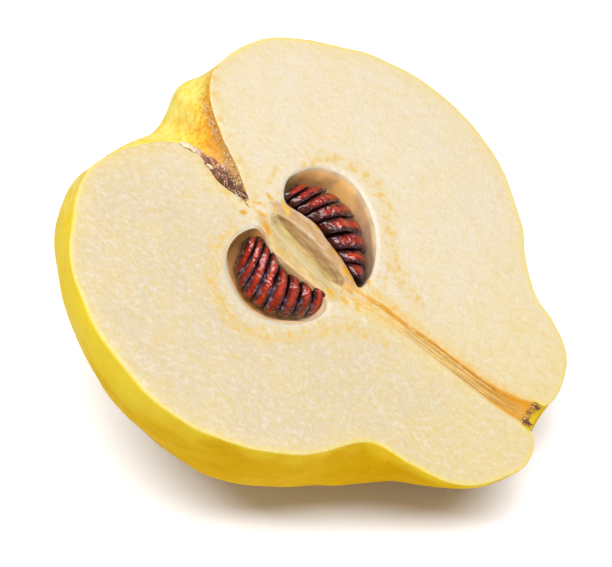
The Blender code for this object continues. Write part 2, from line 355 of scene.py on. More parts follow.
strand = {
    "upper": ((10.5, 0.6), (13.0, 0.4), (17.5, 0.9), (23.0, 1.0), (30.0, 1.4), (37.0, 1.6),
              (44.0, 1.9), (49.5, 3.0), (53.6, 4.7)),
    "lower": ((10.5, -2.2), (13.0, -2.1), (17.5, -1.4), (23.0, -1.1), (30.0, -1.0), (37.0, -0.9),
              (44.0, -0.8), (49.5, -0.5), (53.8, 0.0)),
    "past": 0.6,  # mm that it runs on past its last point
}


def inset(loop, gap, outside=False):
    along = np.roll(loop, -1, axis=0) - np.roll(loop, 1, axis=0)
    along /= np.maximum(np.linalg.norm(along, axis=1, keepdims=True), 1e-9)
    area = (loop[:, 0] * np.roll(loop[:, 1], -1) - np.roll(loop[:, 0], -1) * loop[:, 1]).sum()
    turn = np.sign(area) * (-1 if outside else 1)
    moved = loop + turn * gap * np.stack([-along[:, 1], along[:, 0]], axis=1)
    return moved[distanceTo(moved, loop, True) > 0.9 * gap]


def scattered(low, high, step, rng):
    x, y = np.meshgrid(np.arange(low[0], high[0], step), np.arange(low[1], high[1], step * 0.87))
    x[::2] += step / 2
    spread = np.stack([x.ravel(), y.ravel()], axis=1)
    return spread + rng.uniform(-0.22, 0.22, spread.shape) * step


def facePoints(outline, rims):
    rng = np.random.default_rng(11)
    coarseStep, fineStep, strandStep = (cutFace[name] for name in ("coarseStep", "fineStep", "strandStep"))
    coarse = scattered(outline.min(0), outline.max(0), coarseStep, rng)
    fine = scattered(*cutFace["fineBox"], fineStep, rng)
    stringy = scattered(*cutFace["strandBox"], strandStep, rng)
    reach, strandReach = cutFace["fineRadius"], cutFace["strandReach"]
    middle = np.array(strand["upper"]) * 0.5 + np.array(strand["lower"]) * 0.5
    coarse = coarse[(np.hypot(*coarse.T) > reach) & (distanceTo(coarse, middle) > strandReach)]
    fine = fine[(np.hypot(*fine.T) <= reach) & (distanceTo(fine, middle) > strandReach)]
    stringy = stringy[distanceTo(stringy, middle) <= strandReach]
    kept = []
    last = cutFace["rimInsets"][-1]
    for spread, step in ((coarse, coarseStep), (fine, fineStep), (stringy, strandStep)):
        spread = spread[isInside(spread, outline)]
        spread = spread[distanceTo(spread, outline, True) > last + 0.35 * step]
        for rim in rims:
            spread = spread[~isInside(spread, rim)]
            spread = spread[distanceTo(spread, rim, True) > 0.5 + 0.3 * step]
        kept.append(spread)
    for gap in cutFace["rimInsets"]:
        edge = inset(outline, gap)
        kept.append(edge[isInside(edge, outline)])
    for rim in rims:
        for gap in cutFace["hollowInsets"]:
            ring = inset(rim, gap, outside=True)
            for other in rims:
                ring = ring[~isInside(ring, other)]
                if other is not rim:
                    ring = ring[distanceTo(ring, other, True) > 0.3]
            kept.append(ring)
    return np.vstack(kept)


def addBowl(points, faces, rimIds, hollow):
    rim = np.array([points[i] for i in rimIds])
    start, end = (np.array((*p, 0.0)) for p in hollow["spine"])
    along = end - start
    share = np.clip(((rim - start) @ along) / (along @ along), 0, 1)
    feet = start + share[:, None] * along
    outer = 1 if start[1] > 0 else -1  # the chamber's side away from the core
    innerLean, outerLean = hollow["lean"]
    rings, squareness = hollow["rings"], hollow["squareness"]
    above = list(rimIds)
    count, down = len(rimIds), []
    for ring in range(1, rings + 1):
        angle = math.radians(87) * (ring / rings) ** 1.8
        width, depth = math.cos(angle) ** (2 / squareness), math.sin(angle) ** (2 / squareness)
        leaning = 1 - math.exp(-depth * hollow["depth"] / 1.6)  # it starts just below the rim
        below = []
        for place, foot in zip(rim, feet):
            away = place - foot
            reach = np.linalg.norm(away)
            lean = innerLean + (outerLean - innerLean) * max(0.0, outer * away[1] / reach)
            at = foot + away * max(0.02, width - lean * leaning / reach * width)
            at[2] = -depth * hollow["depth"]
            at += away * hollow["ripple"] * noise.noise(Vector(at) / 2.6) * min(1, ring / 6)
            below.append(len(points))
            points.append(at)
            down.append(depth)
        for step in range(count):
            after = (step + 1) % count
            faces.append((above[step], above[after], below[after], below[step]))
        above = below
    faces.append(tuple(above))
    return down


# the line of vessels round the core, on each side of it
coreLines = (
    ((-9.5, 15.5), (-6.4, 20.1), (-0.6, 22.6), (6.8, 20.7),
     (10.3, 16.6), (13.4, 12.2), (17.6, 8.9), (23.5, 6.3)),
    ((-13.0, -6.5), (-13.4, -9.6), (-12.3, -14.5), (-10.4, -18.3), (-7.0, -20.9), (-3.0, -22.2),
     (1.6, -21.8), (5.6, -19.3), (9.0, -15.5), (12.2, -10.6), (17.0, -7.0), (22.0, -5.0)),
)

# vessels cut across: x, y, length, width, degrees
vesselSpots = (
    (-10.9, 0.4, 1.3, 0.8, -20), (-8.4, -1.1, 2.9, 1.0, -38), (-12.4, 1.9, 1.1, 0.7, 40),
    (-11.4, 4.6, 1.6, 0.8, -10), (-7.9, 5.0, 3.2, 0.9, -30), (-9.8, 9.6, 1.2, 0.7, 20),
    (-0.9, 6.1, 1.8, 0.8, -15), (8.8, 1.9, 2.6, 1.2, -25), (8.8, -4.2, 1.9, 0.9, -15),
    (-3.4, -4.1, 1.2, 0.7, -10), (4.6, 4.2, 1.5, 0.7, -20), (11.6, -3.6, 1.4, 0.8, 5),
    (13.2, 3.4, 1.4, 0.7, -40), (-13.6, -1.8, 1.0, 0.6, 30), (-9.3, 3.2, 1.3, 0.6, -60),
    (14.6, -3.2, 1.5, 0.7, -10),
)


def faceFacts(points, onFace, outline, rims):
    far = 30.0  # mm, for points off the cut face
    facts = {}
    for name, lines in (("fromRim", [outline]), ("fromChamber", rims[:2]), ("fromSlot", rims[2:])):
        facts[name] = np.full(len(points), far)
        facts[name][onFace] = np.min([distanceTo(points[onFace], line, True) for line in lines], axis=0)
    facts["fromRim"][:] = np.where(onFace | (points[:, 2] > -0.01), facts["fromRim"], 0.0)
    lines = [evenly(smoothThrough([(*p, 0) for p in line], 10), 0.5) for line in coreLines]
    facts["fromCoreLine"] = np.full(len(points), far)
    facts["fromCoreLine"][onFace] = np.min([distanceTo(points[onFace], line) for line in lines], axis=0)
    upper, lower = (smoothThrough([(*p, 0) for p in strand[edge]], 8) for edge in ("upper", "lower"))
    x, y = points[:, 0], points[:, 1]
    top = np.interp(x, [p.x for p in upper], [p.y for p in upper])
    bottom = np.interp(x, [p.x for p in lower], [p.y for p in lower])
    ends = np.maximum(0, strand["lower"][0][0] - x)
    ends += np.maximum(0, x - strand["upper"][-1][0] - strand["past"])
    away = np.maximum(0, np.maximum(bottom - y, y - top)) + ends
    facts["fromStrand"] = np.where(onFace, away, far)
    facts["acrossStrand"] = np.clip((y - bottom) / (top - bottom), -4, 5)
    height, fall = pithSlot["middle"]
    facts["side"] = y - height + fall * x  # above zero on the far side of the core's middle
    spot = np.zeros(len(points))
    for atX, atY, length, width, degrees in vesselSpots:
        turn = math.radians(degrees)
        along = (x - atX) * math.cos(turn) + (y - atY) * math.sin(turn)
        across = -(x - atX) * math.sin(turn) + (y - atY) * math.cos(turn)
        spot = np.maximum(spot, 1 - np.sqrt((along / length) ** 2 + (across / width) ** 2))
    facts["spot"] = np.where(onFace, spot, 0.0)
    return facts


def faceRelief(points, onFace, facts):
    height = np.zeros(len(points))
    lip, edge = cutFace["lipWidth"], cutFace["edgeWidth"]
    for i in np.flatnonzero(onFace):
        x, y = points[i, :2]
        fromRim, fromSlot = facts["fromRim"][i], facts["fromSlot"][i]
        height[i] = noiseSum((x, y, 0.0), cutFace["waves"]) * min(1.0, fromRim / 1.5)
        height[i] -= cutFace["edgeDrop"] * max(0.0, 1 - fromRim / edge) ** 2
        inStrand = max(0.0, 1 - facts["fromStrand"][i] / edge)
        ribs = noise.noise(Vector((x / 9.0, facts["acrossStrand"][i] * 4.2, 3.0)))
        height[i] += inStrand * (ribs * cutFace["strandRib"] - cutFace["strandDrop"]) * min(1, fromRim / 2)
        height[i] -= cutFace["lipDrop"] * max(0.0, 1 - facts["fromChamber"][i] / lip) ** 2
        height[i] -= cutFace["slotLipDrop"] * max(0.0, 1 - fromSlot / lip) ** 2
        nearCore = math.exp(-(fromSlot / cutFace["pithWidth"]) ** 2)
        height[i] += nearCore * noiseSum((x, y, 4.0), cutFace["pithWaves"])
    for name, drop in (("downChamber", cutFace["lipDrop"]), ("downSlot", cutFace["slotLipDrop"])):
        down = facts[name]
        height -= np.where(~onFace & (down > 0), drop * (1 - down) ** 4, 0.0)  # the rounding goes on below
    return height


skinFaces, fleshFaces, wallFaces, slotFaces = range(4)  # places in the fruit's list of materials


def skinMesh(grid):
    rows, around = grid.shape[:2]
    ids = np.zeros((rows, around), int)
    points, station = [grid[0, 0]], [0.0]
    for row in range(1, rows - 1):
        for step in range(around):
            ids[row, step] = len(points)
            points.append(grid[row, step])
            station.append(row / fruit["stepsPerStation"])
    ids[-1] = len(points)
    points.append(grid[-1, 0])
    station.append((rows - 1) / fruit["stepsPerStation"])
    faces = []
    for row in range(rows - 1):
        for step in range(around - 1):
            corners = (ids[row, step], ids[row, step + 1], ids[row + 1, step + 1], ids[row + 1, step])
            corners = tuple(dict.fromkeys(int(c) for c in corners))
            if len(corners) > 2:
                faces.append(corners)
    outlineIds = [int(i) for i in (ids[0, 0], *ids[1:-1, 0], ids[-1, 0], *ids[-2:0:-1, -1])]
    return points, station, faces, outlineIds


def addCutFace(points, faces, outlineIds, outline, rims):
    flat = [*outline, *(place for rim in rims for place in rim), *facePoints(outline, rims)]
    faceIds = list(outlineIds)
    for place in flat[len(outline):]:
        faceIds.append(len(points))
        points.append(np.array((*place, 0.0)))
    loops, first = [], 0
    for loop in (outline, *rims):
        loops += [(first + k, first + (k + 1) % len(loop)) for k in range(len(loop))]
        first += len(loop)
    placed = delaunay_2d_cdt([Vector(p) for p in flat], loops, [], 0, 1e-7)
    sources = [source[0] for source in placed[3]]
    middles = np.array([np.mean([flat[sources[c]] for c in corners], axis=0) for corners in placed[2]])
    shown = isInside(middles, outline)
    for rim in rims:
        shown &= ~isInside(middles, rim)
    faces += [tuple(faceIds[sources[c]] for c in corners) for corners, keep in zip(placed[2], shown) if keep]
    return faceIds


def makeFruit(materials):
    points, station, faces, outlineIds = skinMesh(skinGrid())
    kinds = [skinFaces] * len(faces)
    skinEnd = len(points)
    outline = np.array([points[i] for i in outlineIds])[:, :2]
    hollows = (chambers["far"], chambers["near"], pithSlot)
    rims = [
        evenly(smoothThrough([(*p, 0) for p in hollow["rim"]], 12, True), cutFace["rimStep"], True)[:, :2]
        for hollow in hollows
    ]
    faceIds = addCutFace(points, faces, outlineIds, outline, rims)
    kinds += [fleshFaces] * (len(faces) - len(kinds))
    faceEnd = len(points)

    first, depths = len(outline), {"downChamber": {}, "downSlot": {}}
    for hollow, rim in zip(hollows, rims):
        kind, name = (slotFaces, "downSlot") if hollow is pithSlot else (wallFaces, "downChamber")
        before = len(points)
        down = addBowl(points, faces, faceIds[first:first + len(rim)], hollow)
        depths[name].update(zip(range(before, len(points)), down))
        kinds += [kind] * (len(faces) - len(kinds))
        first += len(rim)

    points = np.array(points)
    onFace = np.zeros(len(points), bool)
    onFace[skinEnd:faceEnd] = True
    onFace[outlineIds] = True
    facts = faceFacts(points, onFace, outline, rims)
    facts["station"] = np.r_[station, np.full(len(points) - skinEnd, 20.0)]
    for name, depth in depths.items():
        facts[name] = np.array([depth.get(i, 0.0) for i in range(len(points))])
    facts["fromChamber"][list(depths["downChamber"])] = 0.0
    facts["fromSlot"][list(depths["downSlot"])] = 0.0
    points[:, 2] += faceRelief(points, onFace, facts)
    makePiece(
        "quince_flesh_and_skin", points, faces, materials, kinds, facts, ["quince_half"]
    )


def addNode(tree, kind, inputs=(), **settings):
    made = tree.nodes.new("ShaderNode" + kind)
    for name, value in settings.items():
        setattr(made, name, value)
    for name, value in dict(inputs).items():
        if isinstance(value, bpy.types.NodeSocket):
            tree.links.new(value, made.inputs[name])
        else:
            made.inputs[name].default_value = value
    return made


def calc(tree, operation, first, second=0.0, clamp=False):
    return addNode(tree, "Math", {0: first, 1: second}, operation=operation, use_clamp=clamp).outputs[0]


def remap(tree, value, low, high, toLow=0.0, toHigh=1.0):
    places = {"Value": value, "From Min": low, "From Max": high, "To Min": toLow, "To Max": toHigh}
    return addNode(tree, "MapRange", places, interpolation_type="SMOOTHSTEP").outputs["Result"]


def blend(tree, amount, first, second, mode="MIX"):
    made = addNode(tree, "Mix", data_type="RGBA", blend_type=mode)
    for socket, value in ((made.inputs[0], amount), (made.inputs[6], first), (made.inputs[7], second)):
        if isinstance(value, bpy.types.NodeSocket):
            tree.links.new(value, socket)
        else:
            socket.default_value = (*value, 1.0) if isinstance(value, tuple) and len(value) == 3 else value
    return made.outputs[2]


def fact(tree, name):
    return addNode(tree, "Attribute", attribute_name=name).outputs["Fac"]


def grown(tree, stretch=(1, 1, 1)):
    place = addNode(tree, "Attribute", attribute_name="grown").outputs["Vector"]
    if stretch == (1, 1, 1):
        return place
    return addNode(tree, "VectorMath", {0: place, 1: stretch}, operation="MULTIPLY").outputs[0]


def makeGroup(name, inputs, outputs, build):
    tree = bpy.data.node_groups.new(name, "ShaderNodeTree")
    for socketName, kind, value in inputs:
        socket = tree.interface.new_socket(socketName, in_out="INPUT", socket_type="NodeSocket" + kind)
        if value is not None:
            socket.default_value = value
    for socketName, kind in outputs:
        tree.interface.new_socket(socketName, in_out="OUTPUT", socket_type="NodeSocket" + kind)
    start, end = tree.nodes.new("NodeGroupInput"), tree.nodes.new("NodeGroupOutput")
    for socketName, result in build(tree, start.outputs).items():
        tree.links.new(result, end.inputs[socketName])
    return tree


def buildMottle(tree, given):
    cloud = addNode(tree, "TexNoise", {
        "Vector": given["Place"], "Scale": given["Scale"], "Detail": given["Detail"], "Roughness": 0.6,
    })
    return {"Mask": remap(tree, cloud.outputs["Fac"], given["Low"], given["High"])}


def buildFlecks(tree, given):
    wander = addNode(tree, "TexNoise", {"Vector": given["Place"], "Scale": 1.3, "Detail": 1.0})
    moved = addNode(tree, "VectorMath", {0: given["Place"], 1: wander.outputs["Color"]}, operation="ADD")
    cells = addNode(tree, "TexVoronoi", {"Vector": moved.outputs[0], "Scale": given["Scale"]})
    chance = addNode(tree, "SeparateColor", {0: cells.outputs["Color"]})
    picked = calc(tree, "LESS_THAN", chance.outputs[0], given["Share"])
    size = calc(tree, "MULTIPLY", given["Size"], remap(tree, chance.outputs[1], 0.0, 1.0, 0.4, 1.0))
    inside = calc(tree, "SUBTRACT", size, cells.outputs["Distance"])
    soft = calc(tree, "DIVIDE", inside, calc(tree, "MULTIPLY", size, given["Softness"]), clamp=True)
    return {"Mask": calc(tree, "MULTIPLY", soft, picked)}


def buildFibres(tree, given):
    along = addNode(tree, "VectorMath", {0: given["Place"], 1: given["Stretch"]}, operation="MULTIPLY")
    lines = addNode(tree, "TexNoise", {
        "Vector": along.outputs[0], "Scale": given["Scale"], "Detail": 3.0, "Roughness": 0.62,
    })
    return {"Mask": remap(tree, lines.outputs["Fac"], given["Low"], given["High"])}


def buildGrain(tree, given):
    coarse = addNode(tree, "TexNoise", {"Vector": given["Place"], "Scale": given["Scale"], "Detail": 5.0})
    cells = addNode(tree, "TexVoronoi", {
        "Vector": given["Place"], "Scale": calc(tree, "MULTIPLY", given["Scale"], 1.9),
    }, feature="SMOOTH_F1")
    pits = calc(tree, "MULTIPLY", cells.outputs["Distance"], 0.6)
    height = calc(tree, "SUBTRACT", coarse.outputs["Fac"], pits)
    bump = addNode(tree, "Bump", {
        "Strength": given["Strength"], "Distance": given["Depth"], "Height": height,
    })
    return {"Normal": bump.outputs["Normal"], "Height": height}


groups = {
    "mottle": makeGroup(
        "Mottle",
        (("Place", "Vector", None), ("Scale", "Float", 0.1), ("Detail", "Float", 3.0),
         ("Low", "Float", 0.35), ("High", "Float", 0.65)),
        (("Mask", "Float"),), buildMottle,
    ),
    "flecks": makeGroup(
        "Flecks",
        (("Place", "Vector", None), ("Scale", "Float", 0.5), ("Size", "Float", 0.5),
         ("Share", "Float", 0.3), ("Softness", "Float", 0.5)),
        (("Mask", "Float"),), buildFlecks,
    ),
    "fibres": makeGroup(
        "Fibres",
        (("Place", "Vector", None), ("Stretch", "Vector", (0.2, 1.0, 1.0)), ("Scale", "Float", 1.0),
         ("Low", "Float", 0.4), ("High", "Float", 0.6)),
        (("Mask", "Float"),), buildFibres,
    ),
    "grain": makeGroup(
        "Grain",
        (("Place", "Vector", None), ("Scale", "Float", 1.0), ("Strength", "Float", 0.3),
         ("Depth", "Float", 0.0003)),
        (("Normal", "Vector"), ("Height", "Float")), buildGrain,
    ),
}


def useGroup(tree, name, **inputs):
    made = tree.nodes.new("ShaderNodeGroup")
    made.node_tree = groups[name]
    for socketName, value in inputs.items():
        if isinstance(value, bpy.types.NodeSocket):
            tree.links.new(value, made.inputs[socketName])
        else:
            made.inputs[socketName].default_value = value
    return made.outputs


def newMaterial(name):
    material = bpy.data.materials.new(name)
    material.use_nodes = True
    tree = material.node_tree
    return material, tree, tree.nodes["Principled BSDF"]


def feed(tree, shader, **inputs):
    for name, value in inputs.items():
        socket = shader.inputs[name.replace("_", " ")]
        if isinstance(value, bpy.types.NodeSocket):
            tree.links.new(value, socket)
        elif socket.type == "RGBA":
            socket.default_value = (*value, 1.0)
        else:
            socket.default_value = value


def combine(tree, operation, *values):
    result = values[0]
    for value in values[1:]:
        result = calc(tree, operation, result, value)
    return result


def times(tree, *values):
    return combine(tree, "MULTIPLY", *values)


def most(tree, *values):
    return combine(tree, "MAXIMUM", *values)


def flip(tree, mask):
    return calc(tree, "SUBTRACT", 1.0, mask)


def fade(tree, value, full, gone, strength=1.0):  # from its strength at full down to nothing at gone
    return remap(tree, value, full, gone, strength, 0.0)


def tint(tree, colour, towards, *masks):
    return blend(tree, times(tree, *masks), colour, towards)


def pattern(tree, look, name, place):
    kind, values = look["patterns"][name]
    return useGroup(tree, kind, Place=place, **values)["Mask"]


def bumpy(tree, look, place):
    return useGroup(tree, "grain", Place=place, **look["grain"])["Normal"]


# In each look, a pattern's scale is per millimetre, so a larger one is finer; strengths run from 0 to 1.
fleshLook = {
    "cream": (0.464, 0.403, 0.300),
    # nearSide is painted shade: a darker cream for the cut face's near side
    "nearSide": (0.404, 0.340, 0.234),
    "grit": (0.430, 0.320, 0.090),
    "paleGrit": (0.500, 0.470, 0.455),
    "yellowed": (0.470, 0.375, 0.175),
    "oxidised": (0.455, 0.305, 0.070),
    "pithHaze": (0.455, 0.405, 0.335),
    "chamberRing": (0.470, 0.425, 0.345),
    "vessel": (0.430, 0.190, 0.012),
    "vesselPale": (0.470, 0.300, 0.045),
    "farRidge": (0.325, 0.180, 0.066),
    "nearRidge": (0.385, 0.256, 0.065),
    "brownLine": (0.260, 0.105, 0.020),
    "rimYellow": (0.500, 0.405, 0.090),
    "strokes": 32.0,  # degrees from the core's line in which the knife has smeared the crumbs
    "smear": (0.62, 1.0, 1.0),
    "driftStretch": (1.0, 2.2, 1.0),
    "patterns": {
        "wide": ("mottle", {"Scale": 0.10, "Detail": 4.0, "Low": 0.36, "High": 0.68}),
        "crumbs": ("mottle", {"Scale": 0.95, "Detail": 4.0, "Low": 0.46, "High": 0.72}),
        "paleCrumbs": ("mottle", {"Scale": 1.05, "Detail": 4.0, "Low": 0.47, "High": 0.70}),
        "drifts": ("mottle", {"Scale": 0.22, "Detail": 4.0, "Low": 0.45, "High": 0.72}),
        "stones": ("flecks", {"Scale": 1.1, "Size": 0.40, "Share": 0.22, "Softness": 1.0}),
        "patchy": ("mottle", {"Scale": 0.62, "Detail": 4.0, "Low": 0.47, "High": 0.63}),
        "blotch": ("fibres", {"Stretch": (0.35, 1.0, 1.0), "Scale": 0.8, "Low": 0.30, "High": 0.60}),
        "threads": ("fibres", {"Stretch": (0.08, 1.0, 1.0), "Scale": 1.5, "Low": 0.44, "High": 0.66}),
        "fanThreads": ("fibres", {"Stretch": (0.3, 1.0, 1.0), "Scale": 0.9, "Low": 0.42, "High": 0.62}),
        "wander": ("mottle", {"Scale": 1.0, "Detail": 3.0, "Low": 0.0, "High": 1.0}),
    },
    "strength": {
        "byRim": 0.45, "byStem": 0.55, "byStrand": 0.7, "clouds": 0.28,
        "crumbs": 0.42, "paleCrumbs": 0.32, "drifts": 0.30, "stones": 0.25,
        "haze": 0.6, "coreLine": 0.28, "flecks": 0.75, "chamberRing": 0.40,
        "nearRidge": 0.7, "brownLine": 0.85, "vessels": 0.9, "rim": 0.75, "basinStain": 0.75,
        "fan": 0.7, "threads": 0.7, "stemEnd": 0.85,
    },
    # darker lines in the strand: place and reach across it, strength, mm along the core where it begins
    "seams": (
        (0.86, 0.34, 1.0, 12.0), (0.06, 0.12, 0.35, 26.0), (0.30, 0.08, 0.6, 20.0), (0.55, 0.06, 0.5, 30.0),
    ),
    "grain": {"Scale": 0.8, "Strength": 0.30, "Depth": 0.0004},
    "roughness": (0.40, 0.54),
    "scatter": (0.0034, 0.0021, 0.0010),  # metres
}


def fleshSockets(tree, look):  # what several of the layers below share
    place = grown(tree)
    axes = addNode(tree, "SeparateXYZ", {0: place}).outputs
    turned = addNode(tree, "VectorRotate", {
        "Vector": place, "Angle": math.radians(-look["strokes"]),
    }, rotation_type="Z_AXIS").outputs[0]
    strokes = addNode(tree, "VectorMath", {0: turned, 1: look["smear"]}, operation="MULTIPLY").outputs[0]
    names = (
        "side", "spot", "fromRim", "fromSlot", "fromChamber", "fromCoreLine", "fromStrand", "acrossStrand",
    )
    shared = {name: fact(tree, name) for name in names}
    for name, at in (("wide", place), ("crumbs", strokes), ("patchy", place)):
        shared[name] = pattern(tree, look, name, at)
    return {**shared, "place": place, "x": axes[0], "y": axes[1], "strokes": strokes}


def layFlesh(tree, look, on):
    strength = look["strength"]
    # painted shade: the cut face darkens from its far side to its near side
    colour = blend(tree, remap(tree, on["y"], 14.0, -16.0), look["cream"], look["nearSide"])
    yellowing = most(
        tree, fade(tree, on["fromRim"], 0.4, 5.0, strength["byRim"]),
        remap(tree, on["x"], 20.0, 52.0, 0.0, strength["byStem"]),
        fade(tree, on["fromStrand"], 0.4, 5.0, strength["byStrand"]),
    )
    yellowing = calc(tree, "ADD", yellowing, times(tree, on["wide"], strength["clouds"]), clamp=True)
    return tint(tree, colour, look["yellowed"], yellowing)


def layCrumbs(tree, look, on, colour):
    strength = look["strength"]
    coarser = remap(tree, on["y"], 24.0, -8.0, 0.6, 1.0)  # towards the near side
    colour = tint(tree, colour, look["grit"], on["crumbs"], coarser, strength["crumbs"])
    shift = {0: on["strokes"], 1: (31.0, 17.0, 5.0)}
    shifted = addNode(tree, "VectorMath", shift, operation="ADD").outputs[0]
    pale = pattern(tree, look, "paleCrumbs", shifted)
    colour = tint(tree, colour, look["paleGrit"], pale, coarser, strength["paleCrumbs"])
    drifts = pattern(tree, look, "drifts", grown(tree, look["driftStretch"]))
    colour = tint(tree, colour, look["grit"], drifts, coarser, strength["drifts"])
    return tint(tree, colour, look["paleGrit"], pattern(tree, look, "stones", shifted), strength["stones"])


def layPith(tree, look, on, colour):  # a whitish haze, ochre flecks, and browning along the line of vessels
    strength = look["strength"]
    fromSlot, fromChamber = on["fromSlot"], on["fromChamber"]
    haze = most(tree, fade(tree, fromSlot, 1.5, 7.0), fade(tree, fromChamber, 0.4, 4.0, 0.8))
    between = flip(tree, times(tree, on["crumbs"], 0.7))  # the haze leaves the crumbs clearer
    colour = tint(tree, colour, look["pithHaze"], haze, between, strength["haze"])
    nearLine = fade(tree, on["fromCoreLine"], 0.2, 2.6)
    colour = tint(tree, colour, look["oxidised"], nearLine, strength["coreLine"])
    besideStrand = times(tree, fade(tree, on["fromStrand"], 0.2, 3.4), remap(tree, on["x"], 32.0, 16.0))
    aroundChambers = times(
        tree, remap(tree, fromChamber, 0.6, 1.6), remap(tree, fromChamber, 5.0, 2.4), 0.75
    )
    flecked = most(tree, nearLine, fade(tree, fromSlot, 1.0, 6.5, 0.8), besideStrand, aroundChambers)
    colour = tint(tree, colour, look["oxidised"], flecked, on["patchy"], strength["flecks"])
    ring = fade(tree, fromChamber, 0.15, 0.95)
    return tint(tree, colour, look["chamberRing"], ring, strength["chamberRing"])


def layRidges(tree, look, on, colour):  # the two ridges between the slot and the chambers
    strength = look["strength"]
    fromSlot, fromChamber = on["fromSlot"], on["fromChamber"]
    onRidge = times(tree, fade(tree, fromSlot, 1.8, 3.4), fade(tree, fromChamber, 2.2, 4.2))
    farSide = remap(tree, on["side"], -0.4, 0.8)
    nearSide = flip(tree, farSide)
    blotch = pattern(tree, look, "blotch", on["place"])
    uneven = calc(tree, "ADD", times(tree, blotch, 0.45), 0.5)
    colour = tint(tree, colour, look["farRidge"], onRidge, farSide, uneven)
    colour = tint(tree, colour, look["nearRidge"], onRidge, nearSide, strength["nearRidge"])
    line = times(tree, fade(tree, fromChamber, 0.10, 0.75), fade(tree, fromSlot, 2.4, 4.0))
    broken = calc(tree, "ADD", times(tree, nearSide, 0.6), times(tree, blotch, 0.5), clamp=True)
    return tint(tree, colour, look["brownLine"], line, broken, strength["brownLine"])


def layVesselsAndRim(tree, look, on, colour):
    strength, patchy = look["strength"], on["patchy"]
    ragged = calc(tree, "ADD", on["spot"], times(tree, calc(tree, "SUBTRACT", patchy, 0.6), 0.35))
    vessel = blend(tree, on["wide"], look["vessel"], look["vesselPale"])
    colour = tint(tree, colour, vessel, remap(tree, ragged, 0.05, 0.45), strength["vessels"])
    byBasin = times(tree, remap(tree, on["x"], -10.0, -13.0), remap(tree, on["y"], -12.0, -8.0),
                    remap(tree, on["y"], 26.0, 20.0))
    rim = fade(tree, on["fromRim"], 0.0, 1.3)
    colour = tint(tree, colour, look["rimYellow"], rim, flip(tree, byBasin), strength["rim"])
    stained = fade(tree, on["fromRim"], 0.2, 2.6)
    return tint(tree, colour, look["oxidised"], stained, byBasin, patchy, strength["basinStain"])


def layStrand(tree, look, on, colour):  # the strand of vessels that runs to the stem
    strength = look["strength"]
    orange, deep = strandLook["orange"], strandLook["deep"]
    x, across, fromStrand = on["x"], on["acrossStrand"], on["fromStrand"]
    threads = pattern(tree, look, "threads", on["place"])
    fanThreads = pattern(tree, look, "fanThreads", on["place"])
    fan = times(
        tree, fade(tree, fromStrand, 0.2, 2.4), remap(tree, x, 9.0, 11.0), remap(tree, x, 30.0, 15.0)
    )
    colour = tint(tree, colour, orange, fan, fanThreads, strength["fan"])
    inStrand = fade(tree, fromStrand, 0.0, 0.9)
    glow = times(tree, fade(tree, fromStrand, 0.0, 2.4), remap(tree, across, 0.5, 1.0),
                 remap(tree, x, 14.0, 26.0), calc(tree, "ADD", times(tree, on["patchy"], 0.5), 0.3))
    colour = tint(tree, colour, orange, glow)
    towardsStem = remap(tree, x, 12.0, 48.0, 0.30, 1.0)
    colour = tint(tree, colour, orange, inStrand, threads, towardsStem, strength["threads"])
    drift = pattern(tree, look, "wander", grown(tree, (0.35, 0, 0)))
    wander = times(tree, calc(tree, "SUBTRACT", drift, 0.5), 0.35)
    for centre, reach, seamStrength, begins in look["seams"]:
        away = calc(tree, "ABSOLUTE", calc(tree, "SUBTRACT", calc(tree, "ADD", across, wander), centre))
        seam = times(tree, fade(tree, away, reach * 0.3, reach), inStrand)
        begun = remap(tree, x, begins, begins + 6.0)
        colour = tint(tree, colour, deep, seam, begun, seamStrength)
    return tint(tree, colour, deep, inStrand, remap(tree, x, 34.0, 50.0), strength["stemEnd"])


def makeFleshMaterial():
    look = fleshLook
    material, tree, shader = newMaterial("cut_flesh")
    on = fleshSockets(tree, look)
    colour = layFlesh(tree, look, on)
    for lay in (layCrumbs, layPith, layRidges, layVesselsAndRim, layStrand):
        colour = lay(tree, look, on, colour)
    feed(
        tree, shader, Base_Color=colour, Roughness=remap(tree, on["crumbs"], 0.0, 1.0, *look["roughness"]),
        Normal=bumpy(tree, look, on["place"]), Subsurface_Weight=0.2, Subsurface_Radius=look["scatter"],
        Subsurface_Scale=1.0, Specular_IOR_Level=0.3,
    )
    return material


